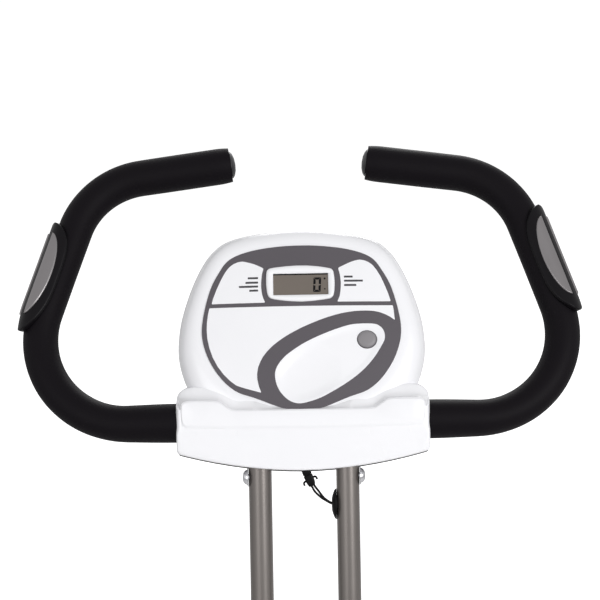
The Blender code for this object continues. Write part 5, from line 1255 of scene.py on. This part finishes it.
front_rows = []
for i in range(25):
    share = (i / 24) ** 1.5
    front_rows.append([console_plane(p.x, p.y, shoulder(share)) for p in between(share)])
for i in range(1, 49):
    squeeze = 1 - i / 49
    front_rows.append([console_plane(p.x, p.y, face_height(p.x, p.y)) for p in between(1.0, squeeze)])
lining = [[console_plane(p.x, p.y, height - SHELL_WALL) for p in between(share, squeeze)]
          for share, squeeze, height in (
              (0.04, 0.98, RIM + SHELL_WALL), (0.2, 0.98, 0.013), (0.6, 1.0, 0.0175), (1.0, 1.0, FACE),
              (1.0, 0.5, CROWN - 0.004), (1.0, 0.03, CROWN - 0.004))]
front = skinned(front_rows[::-1] + lining)
finished(front, "console_shell_front", white_abs, "white_plastic", "handlebar_frame", "console_front", sharp=50)

back_rows = []
for i in range(33):
    share = (i / 32) ** 1.6
    depth = RIM - 0.0003 + (BACK - RIM) * (1 - (1 - share) ** 2.3) ** 0.7
    back_rows.append([console_plane(p.x, p.y, depth) for p in between(share)])
for squeeze in (0.97, 0.9, 0.75, 0.5, 0.25, 0.03):
    back_rows.append([console_plane(p.x, p.y, BACK - 0.0008 * (1 - squeeze)) for p in between(1.0, squeeze)])
lining = [[console_plane(p.x, p.y, height) for p in between(share, squeeze)]
          for share, squeeze, height in ((0.05, 0.98, RIM - 0.0003), (0.2, 0.98, -0.011), (0.6, 1.0, -0.020),
                                         (1.0, 1.0, BACK + SHELL_WALL), (1.0, 0.03, BACK + SHELL_WALL))]
back = skinned(back_rows[::-1] + lining)
finished(back, "console_shell_back", white_abs, "white_plastic", "handlebar_frame", "console_back", sharp=50)

# Print and display: a grey band screen-printed on the face, a white bezel snapped in round a plain
# segment display, and a grained grey button. Short bars stand where such a face has its legends.
PANEL_LEFT = ((-86.6, 111.8), (-84.7, 118.2), (-81.5, 126.9), (-77.6, 135.6), (-73.7, 143.1),
              (-69.8, 148.5), (-65.8, 151.8), (-61.2, 153.9), (-56.7, 154.6), (-52.1, 153.6),
              (-45.5, 151.6), (-40.3, 149.2), (-35.8, 146.7), (-37.4, 141.2), (-38.2, 133.7),
              (-38.3, 126.9), (-37.5, 120.1), (-36, 115.3), (-34.4, 111.9))
PANEL_RIGHT = ((86.9, 111.8), (84.6, 119.8), (81.6, 128), (78, 136.9), (73.7, 144.5), (70, 149.3),
               (66.2, 152.1), (62.3, 153.8), (57.7, 154.6), (52.4, 153.4), (47.1, 151.3), (41.9, 148.8),
               (36.6, 146.1), (38.3, 139.2), (39, 130.9), (38.6, 124.1), (37.5, 117.3), (35, 111.7))
LOWER = ((-88.6, 107.9), (-89.9, 101.6), (-90.9, 93.6), (-91.1, 85.6), (-90.5, 77.7), (-88.5, 68.4),
         (-85.3, 59.2), (-80.8, 50.6), (-75.1, 42.7), (-68.7, 36.1), (-63, 31.7), (-57.9, 29.7), (-49, 27),
         (-39.1, 24.1), (-41.3, 30.3), (-42.8, 37.3), (-42.9, 42.5), (-41.9, 48.5), (-39.8, 53.8),
         (-37.2, 58.5), (-33.3, 63.6), (-28.1, 68.8), (-21.7, 73.8), (-15.2, 78.2), (-7.4, 82.6),
         (0.3, 86.5), (8.1, 89.9), (15.9, 93.1), (23.7, 95.9), (31.5, 98.3), (38, 100), (44.4, 101.2),
         (50.9, 102.1), (57.4, 102.5), (63.9, 102.6), (69.5, 102.2), (75.5, 101), (80.6, 99), (85.7, 96.3),
         (90.1, 93), (89.8, 97), (89.4, 102.3), (88.7, 107.8))
BEZEL = ((-32.8, 143.9), (-30.6, 145.9), (-24.7, 147), (-14.2, 148.1), (-3.8, 148.6), (6.6, 148.5),
         (17, 147.5), (24.8, 146.2), (30, 145), (31.9, 142.7), (32.8, 136.5), (33, 129.6), (32.6, 122.8),
         (31.4, 117.4), (28.6, 115.1), (21.5, 113.9), (11.1, 112.7), (0.8, 112.2), (-9.5, 112.7),
         (-19.9, 113.9), (-27, 115.2), (-30.8, 116.8), (-32.4, 119.9), (-33.2, 125.4), (-33.6, 132.2),
         (-33.4, 138.4))
INK = 0.00009
GLASS_HALF = Vector((0.0266, 0.0107))
BUTTON_SQUASH = 0.08


def laid_on(loops, height, spacing=0.004):
    """A film of ink that follows a height over the console's plane, with its underside sunk in the face."""
    return thickened(sheeted(loops, spacing), lambda u, v, side: console_plane(u, v, height(u, v) + INK * side))


# Matt ink: a flat mid grey with a trace of texture.
screen_ink = skin("matt_screen_ink", "#585459", 0.46, 0.0009, 0.000008, drift=0.03, Specular_IOR_Level=0.25)
# The same ink in dark grey.
legend_ink = skin("dark_screen_ink", "#38363a", 0.5, 0.0009, 0.000006)
bezel_out = cornered(BEZEL, 1.6)
band = laid_on([band_line, egg_line, cornered(PANEL_LEFT), cornered(PANEL_RIGHT), cornered(LOWER, 1.0),
                bezel_out], face_height)
finished(band, "printed_band", screen_ink, "grey_plastic", "handlebar_frame")
marks = []
for side, edge, rows in ((-1, -41.3, ((137, 10), (132.4, 12.2), (128.4, 18.6), (124.3, 8.6))),
                         (1, 42.1, ((137, 8.5), (132.8, 18.3), (128.4, 11.8)))):
    for v, wide in rows:
        far = edge + side * wide
        bar_mark = cornered([(edge, v - 1), (far, v - 1), (far, v + 1), (edge, v + 1)], 0.6)
        marks.append(laid_on([bar_mark], face_height, 0.005))
finished(gathered(*marks), "legend_bars", legend_ink, "black_plastic", "handlebar_frame")

window_ring = []
for spot in bezel_out:
    aim = spot - LCD_MID
    window_ring.append(LCD_MID + aim / max(abs(aim.x) / GLASS_HALF.x, abs(aim.y) / GLASS_HALF.y))
bezel_rows = []
for share, height in ((0.0, -0.0020), (0.0, 0.0002), (0.06, 0.0011), (0.20, 0.0017), (0.42, 0.0020),
                      (0.60, 0.0019), (0.80, 0.0014), (0.95, 0.0010), (1.0, 0.0004), (1.0, -0.0030)):
    bezel_rows.append([console_plane(p.x, p.y, CROWN - 0.0003 + height)
                       for p in (a.lerp(b, share) for a, b in zip(bezel_out, window_ring))])
bezel = skinned(bezel_rows, closed=True)
finished(bezel, "display_bezel", white_abs, "white_plastic", "handlebar_frame", sharp=50)

# Glass over a liquid crystal: a warm grey with a clean shine.
lcd_glass = skin("segment_display_glass", "#6e665f", 0.2, 0.0004, 0.000004, Specular_IOR_Level=0.3)
# A driven segment: almost black.
lcd_dark = skin("display_segment", "#0b0a0d", 0.4, 0.0004, 0.000002, Specular_IOR_Level=0.1)
GLASS_TOP = CROWN - 0.0006
pane = [Vector(p) * 0.001 for p in ((-26.9, 118.7), (26.9, 118.7), (26.9, 140.7), (-26.9, 140.7))]
glass = skinned([[console_plane(p.x, p.y, n) for p in pane] for n in (GLASS_TOP - 0.0022, GLASS_TOP)])
finished(glass, "display_pane", lcd_glass, "lcd_glass", "handlebar_frame", "display_window")
SLANT = 0.06
DIGIT_U, DIGIT_V = 15.9, 129.0
DIGIT_HALF, DIGIT_TALL, STROKE, GAP = 3.7, 7.3, 2.2, 0.22
bars = []
for end in (1, -1):
    bars.append([(-DIGIT_HALF + GAP, end * DIGIT_TALL), (DIGIT_HALF - GAP, end * DIGIT_TALL),
                 (DIGIT_HALF - STROKE - GAP, end * (DIGIT_TALL - STROKE)),
                 (-DIGIT_HALF + STROKE + GAP, end * (DIGIT_TALL - STROKE))])
    for hand in (1, -1):
        bars.append([(hand * DIGIT_HALF, end * (DIGIT_TALL - GAP)), (hand * DIGIT_HALF, end * GAP),
                     (hand * (DIGIT_HALF - STROKE), end * (GAP + STROKE * 0.35)),
                     (hand * (DIGIT_HALF - STROKE), end * (DIGIT_TALL - STROKE - GAP))])
strokes = [[Vector((DIGIT_U + x + y * SLANT, DIGIT_V + y)) * 0.001 for x, y in bar] for bar in bars]
for u, v, radius in ((23.3, 135.1, 1.0), (23.3, 124.7, 0.75)):
    twelfths = [k * math.pi / 6 for k in range(12)]
    strokes.append([Vector((u + radius * math.cos(a), v + radius * math.sin(a))) * 0.001 for a in twelfths])
# A dark strip along the top edge of the pane, in the same near-black as the segments.
strokes.append([Vector(p) * 0.001 for p in ((-26.9, 139.1), (26.9, 139.1), (26.9, 140.6), (-26.9, 140.6))])
ends = (GLASS_TOP - 0.0003, GLASS_TOP + 0.00006)
drawn = [skinned([[console_plane(p.x, p.y, n) for p in shape] for n in ends]) for shape in strokes]
finished(gathered(*drawn), "display_segments", lcd_dark, "black_plastic", "handlebar_frame")

# Spark-eroded ABS: a mid grey with a coarse, plainly seen grain.
button_grey = skin("grained_grey_button", "#858285", 0.5, 0.0011, 0.00016, drift=0.07)
button_seat = console_plane(BUTTON_MID.x, BUTTON_MID.y, face_height(*BUTTON_MID))
facing = (console_plane(0, 0, 1) - HANDLEBAR).normalized()
button = turned([(0, 0.0030), (0.0052, 0.0029), (0.0076, 0.0025), (0.0086, 0.0018), (0.0090, 0.0008),
                 (0.0090, -0.0050), (0, -0.0050)], button_seat, facing, 64)
well = turned([(0.0091, 0.0006), (0.0095, 0.0007), (0.0098, 0.0002), (0.0098, -0.0012), (0.0091, -0.0012)],
              button_seat, facing, 64)
upward_face = (console_plane(0, 1) - HANDLEBAR).normalized()
for part in (button, well):
    for vert in part.verts:
        vert.co -= upward_face * ((vert.co - button_seat).dot(upward_face) * BUTTON_SQUASH)
finished(button, "push_button", button_grey, "grey_plastic", "console_button", "console_button", sharp=50)
# Painted shade: a thin ring of dull dark grey stands for the shadow in the gap round the button.
painted_gap_shade = skin("button_gap_painted_shade", "#4a474b", 0.5, 0.0008, 0.00001)
finished(well, "button_well_ring", painted_gap_shade, "black_plastic", "handlebar_frame")

# Cover: two white ABS shells that snap together round the bar, the stubs and the tops of the posts.
# Both rise in a lobe at each end that cradles the console. The rider's half slopes from its lobes
# down to a flat front, which carries a raised pad with a stepped top.
COVER_HALF = 0.1205
COVER_DEPTH = 0.0245
COVER_WALL = 0.0026
UNDER = [(u, -45.6 + 16.7 * (u / 117.5) ** 1.9) for u in (0, 14, 28, 42, 56, 70, 84, 98, 110, 116)]
PARTING = UNDER + [(119.5, -28.2), (120.5, -25.2), (120.5, -9), (120.5, -3), (120.5, 17), (120.4, 23),
                   (119.4, 27.6), (116.6, 31), (112, 33.4), (104, 34.9), (95, 34.4), (84.5, 33), (79.5, 32),
                   (73.5, 30.6), (67.5, 28.8), (62, 26.8), (46, 21.6), (30, 16.9), (16, 13.8), (0, 13.4)]
FRONT = [(u * 0.985, v + 2.2) for u, v in UNDER] + [
    (117, -25), (118.2, -22.5), (118.2, -9), (115.6, -3), (115.6, 12), (115.4, 16), (114.9, 19.4),
    (113.2, 21.6), (110, 22.6), (104, 22.8), (95, 22.8), (84.5, 22.7), (79.3, 21.8), (73.4, 17.8),
    (67.4, 14.2), (62, 13.6), (46, 13.5), (30, 13.5), (16, 13.5), (0, 13.5)]
PAD = [(0, -4.6), (60, -4.2), (100, -3.4), (110.6, -2.8), (114.4, 0.4), (115.3, 12), (115.1, 15.9),
       (114.6, 19.2), (113, 21.3), (109.9, 22.3), (104, 22.5), (84.5, 22.4), (79.2, 21.5), (73.3, 17.5),
       (67.3, 13.9), (62, 13.3), (0, 13.2)]
PAD_FACE = [(u, v + 3.0) for u, v in PAD[:3]] + [
    (110.2, 0.4), (112.9, 3), (114.2, 12), (114, 15.6), (113.6, 18.5), (112.2, 20.3), (109.5, 21.3),
    (104, 21.5), (84.7, 21.4), (79.6, 20.6), (73.7, 16.7), (67.6, 12.9), (62, 12.3), (0, 12.2)]
SIDE_ROLL = ((0, 0.006), (0, 0.25), (0, 0.45), (0, 0.58), (0.04, 0.69), (0.12, 0.79), (0.25, 0.87),
             (0.42, 0.935), (0.62, 0.975), (0.82, 0.994), (1, 1))
LEDGE_ROLL = ((0, 0.006, 0), (0, 0.5, 0), (0, 0.92, 0), (0.03, 1, 0), (0.12, 1, 0.07), (0.32, 1, 0.17),
              (0.54, 1, 0.30), (0.74, 1, 0.46), (0.89, 1, 0.66), (0.97, 1, 0.84), (1, 1, 1))


def whole(half):
    """A closed outline in metres from its right half, given from the bottom middle round to the top."""
    return cornered(both_halves(half), 1.6)


def apron(u, v):
    """The shell's depth: it falls back a little toward its lower edge and its ends."""
    fall = 0.0045 * smooth_share((-0.006 - v) / 0.040) + 0.0016 * (abs(u) / COVER_HALF) ** 4
    return COVER_DEPTH - 0.0012 - fall


def half_shell(rear_line, face_line, sign, stepped, pad=None, pad_face=None):
    """One half of the cover, from the parting plane to its face, with a lining inside its wall."""
    tops = [smooth_share((p.y - 0.017) / 0.008) if stepped and abs(p.x) > 0.04
            else float(stepped and p.y > 0.012) for p in rear_line]
    ledges = [min(0.73, max(0.34, 0.73 - (abs(p.x) - 0.017) * 5)) for p in rear_line]

    def ring(step, inset=0.0, depth=1.0):
        """One outline of the rolled wall, drawn in for the lining."""
        points = []
        for low, high, top, ledge in zip(rear_line, face_line, tops, ledges):
            inward = SIDE_ROLL[step][0] * (1 - top) + LEDGE_ROLL[step][0] * top
            onward = SIDE_ROLL[step][1] * (1 - top)
            onward += (ledge * LEDGE_ROLL[step][1] + (1 - ledge) * LEDGE_ROLL[step][2]) * top
            spot = low.lerp(high, inward)
            points.append((spot, onward))
        line = shrunk([spot for spot, onward in points], inset) if inset else [spot for spot, onward in points]
        return [(p.x, p.y, sign * onward * depth * apron(p.x, p.y)) for p, (spot, onward) in zip(line, points)]

    bm = bmesh.new()
    rows = [[bm.verts.new(p) for p in ring(step)] for step in range(len(SIDE_ROLL))]
    lining = [[bm.verts.new(p) for p in ring(step, COVER_WALL, 0.88)] for step in (9, 6, 3, 0)]
    for low, high in zip(rows, rows[1:]):
        bridged(bm, low, high)
    for low, high in zip(lining, lining[1:] + rows[:1]):
        bridged(bm, low, high)
    bm.faces.new(lining[0])
    edges = [bm.edges.get((rows[-1][i - 1], rows[-1][i])) for i in range(len(rows[-1]))]
    if pad:
        pads = []
        for share, rise in ((0, 0), (0.18, 0.0003), (0.5, 0.0009), (0.8, 0.0012), (1, 0.0013)):
            spots = [low.lerp(high, share) for low, high in zip(pad, pad_face)]
            pads.append([bm.verts.new((p.x, p.y, apron(p.x, p.y) + rise)) for p in spots])
        for low, high in zip(pads, pads[1:]):
            bridged(bm, low, high)
        edges += [bm.edges.get((pads[0][i - 1], pads[0][i])) for i in range(len(pads[0]))]
        inner = [bm.edges.get((pads[-1][i - 1], pads[-1][i])) for i in range(len(pads[-1]))]
        bmesh.ops.triangle_fill(bm, edges=inner, use_beauty=True)
    filled = bmesh.ops.triangle_fill(bm, edges=edges, use_beauty=True)["geom"]
    front = [f for f in filled if isinstance(f, bmesh.types.BMFace)]
    for axis, spots in ((1, [-0.046 + k * 0.0035 for k in range(1, 24)]),
                        (0, [k * 0.0125 + 0.0001 for k in range(-9, 10)])):
        normal = Vector((1 - axis, axis, 0))
        for spot in spots:
            cut = bmesh.ops.bisect_plane(bm, geom=list({v for f in front for v in f.verts})
                                         + list({e for f in front for e in f.edges}) + front,
                                         plane_co=normal * spot, plane_no=normal)
            front = [f for f in cut["geom"] if isinstance(f, bmesh.types.BMFace)]
    edge_verts = {v for row in rows + lining for v in row}
    for vert in {v for f in front for v in f.verts} - edge_verts:
        if not pad or abs(vert.co.z - apron(vert.co.x, vert.co.y)) < 0.0004:
            vert.co.z = sign * apron(vert.co.x, vert.co.y)
    for vert in bm.verts:
        vert.co = post_plane(*vert.co)
    bmesh.ops.recalc_face_normals(bm, faces=bm.faces)
    return bm


parting_line = whole(PARTING)
rider_half = half_shell(parting_line, whole(FRONT), 1, True, whole(PAD), whole(PAD_FACE))
finished(rider_half, "cover_shell_rider", white_abs, "white_plastic", "handlebar_frame", "cover_rear", sharp=42)
far_half = half_shell(parting_line, shrunk(parting_line, 0.0042), -1, False)
finished(far_half, "cover_shell_far", white_abs, "white_plastic", "handlebar_frame", "cover_front", sharp=42)

# The parting line: a thin strip of dull black along the joint under the cover is painted shade. It stands for the
# shadow in the gap between the halves, and shows as a thin dark line under the cover.
# It is dull, so that it stays dark from every side.
painted_seam_shade = skin("painted_seam_shadow", "#1c1a1c", 0.6, 0.0008, 0.00001)
lower_edge = sorted((p for p in parting_line if p.y < -0.0245), key=lambda p: p.x)
strip_out = [Vector((p.x, p.y - 0.0028)) for p in lower_edge]
strip_in = [Vector((p.x, p.y + 0.0012)) for p in lower_edge][::-1]
strip = skinned([[post_plane(p.x, p.y, n) for p in strip_out + strip_in] for n in (-0.0008, 0.0006)])
finished(strip, "cover_edging", painted_seam_shade, "black_plastic", "handlebar_frame")
# Bolts: dome-headed and chrome plated, through the posts and the stubs just under the cover, each on
# a thin washer with a recess for the key.
BOLT_DOWN = 0.053
dome = [(0, 0.0030), (0.0024, 0.0030), (0.0026, 0.0034), (0.0030, 0.0054), (0.0046, 0.0048), (0.0062, 0.0036),
        (0.0071, 0.0020), (0.0073, 0.0009)]
washer = [(0.0090, 0.0008), (0.0091, 0.0004), (0.0090, 0.0), (0.0030, 0.0), (0.0030, -0.0190), (0, -0.0190)]
bolt = turned(dome + washer, HANDLEBAR - post_up * BOLT_DOWN + X * POST_FACE, X, 56)
paired(bolt, "dome_bolt_{}", bright_chrome, "chrome", "handlebar_frame", "stub_bolt_{}", sharp=50)

# Sensor lead: two thin PVC wires from a latched plug under the cover into a rubber grommet on the
# inner side of the right-hand post. It is held at both ends, and bows a little between them.
WIRE_R = 0.0011
GROMMET_DOWN = 0.0800
GROMMET_STRETCH = 0.65
HOOK_R = 0.0010
# Smooth PVC: black, with a soft narrow highlight along each wire.
black_pvc = skin("black_pvc_lead", "#070608", 0.42, 0.0009, 0.00001, Specular_IOR_Level=0.12)
plug_top = post_plane(0.0006, -0.0445)
plug_tip = post_plane(0.0076, -0.0615)
lead_way = (plug_tip - plug_top).normalized()
toward = (post_plane(0, 0, 1) - HANDLEBAR).normalized()
aside = lead_way.cross(toward).normalized()
aside *= math.copysign(1, aside.x)
sections = ((0.0, 0.0036, 0.0030), (0.0004, 0.0040, 0.0034), (0.0070, 0.0043, 0.0034), (0.0074, 0.0036, 0.0030),
            (0.0080, 0.0036, 0.0030), (0.0084, 0.0044, 0.0036), (0.0150, 0.0042, 0.0034),
            (0.0172, 0.0037, 0.0030), (0.0192, 0.0029, 0.0022))
plug_body = skinned([rounded_ring(plug_top + lead_way * down, aside, wide, toward, deep, (0.4, 0.4), 32)
                     for down, wide, deep in sections])


def smooth_path(knots, per_span):
    """Points on a smooth open curve through knots."""
    spots = knots[:1] + knots + knots[-1:]
    return [spline_spot(*spots[i:i + 4], j / per_span)
            for i in range(len(knots) - 1) for j in range(per_span)] + knots[-1:]


hooks = []
for sign, at in ((1, 0.0120), (-1, 0.0132)):
    root = plug_top + lead_way * at + aside * (sign * 0.0036)
    knots = [root, root + aside * (sign * 0.0020) - lead_way * 0.0002,
             root + aside * (sign * 0.0031) + lead_way * 0.0012,
             root + aside * (sign * 0.0031) + lead_way * 0.0032]
    hooks.append(skinned(rings_along(smooth_path(knots, 5), HOOK_R, 10)))
grommet_spot = HANDLEBAR - post_up * GROMMET_DOWN + X * (POST_X - POST_R)
grommet = turned([(0.0020, 0.0045), (0.0034, 0.0046), (0.0050, 0.0040), (0.0080, 0.0022), (0.0088, 0.0010),
                  (0.0090, 0.0002), (0.0048, 0.0002), (0.0048, -0.0040), (0.0020, -0.0040)],
                 grommet_spot, -X, 48)
for v in grommet.verts:
    v.co += post_up * ((v.co - grommet_spot).dot(post_up) * GROMMET_STRETCH)
finished(grommet, "rubber_grommet", black_pvc, "rubber", "handlebar_frame", "lead_grommet", sharp=50)

wires = []
for sign in (-1, 1):
    gap = aside * (sign * 0.0010)
    behind = toward * (sign * 0.0006)
    knots = [plug_tip - lead_way * 0.003 + gap, post_plane(0.0089, -0.0630) + gap * 1.3,
             post_plane(0.0120, -0.0676) + gap * 1.6, post_plane(0.0170, -0.0733) + gap * 0.9,
             post_plane(0.0209, -0.0763) + gap * 0.5 + behind, post_plane(0.0255, -0.0790) + gap * 0.4 + behind,
             post_plane(0.0300, -0.0803) + gap * 0.4 + behind, grommet_spot + X * 0.0060 + behind]
    wires.append(skinned(rings_along(smooth_path(knots, 12), WIRE_R, 12)))
finished(gathered(plug_body, *hooks, *wires), "sensor_wires", black_pvc, "rubber", "handlebar_frame",
         "sensor_lead", sharp=50)
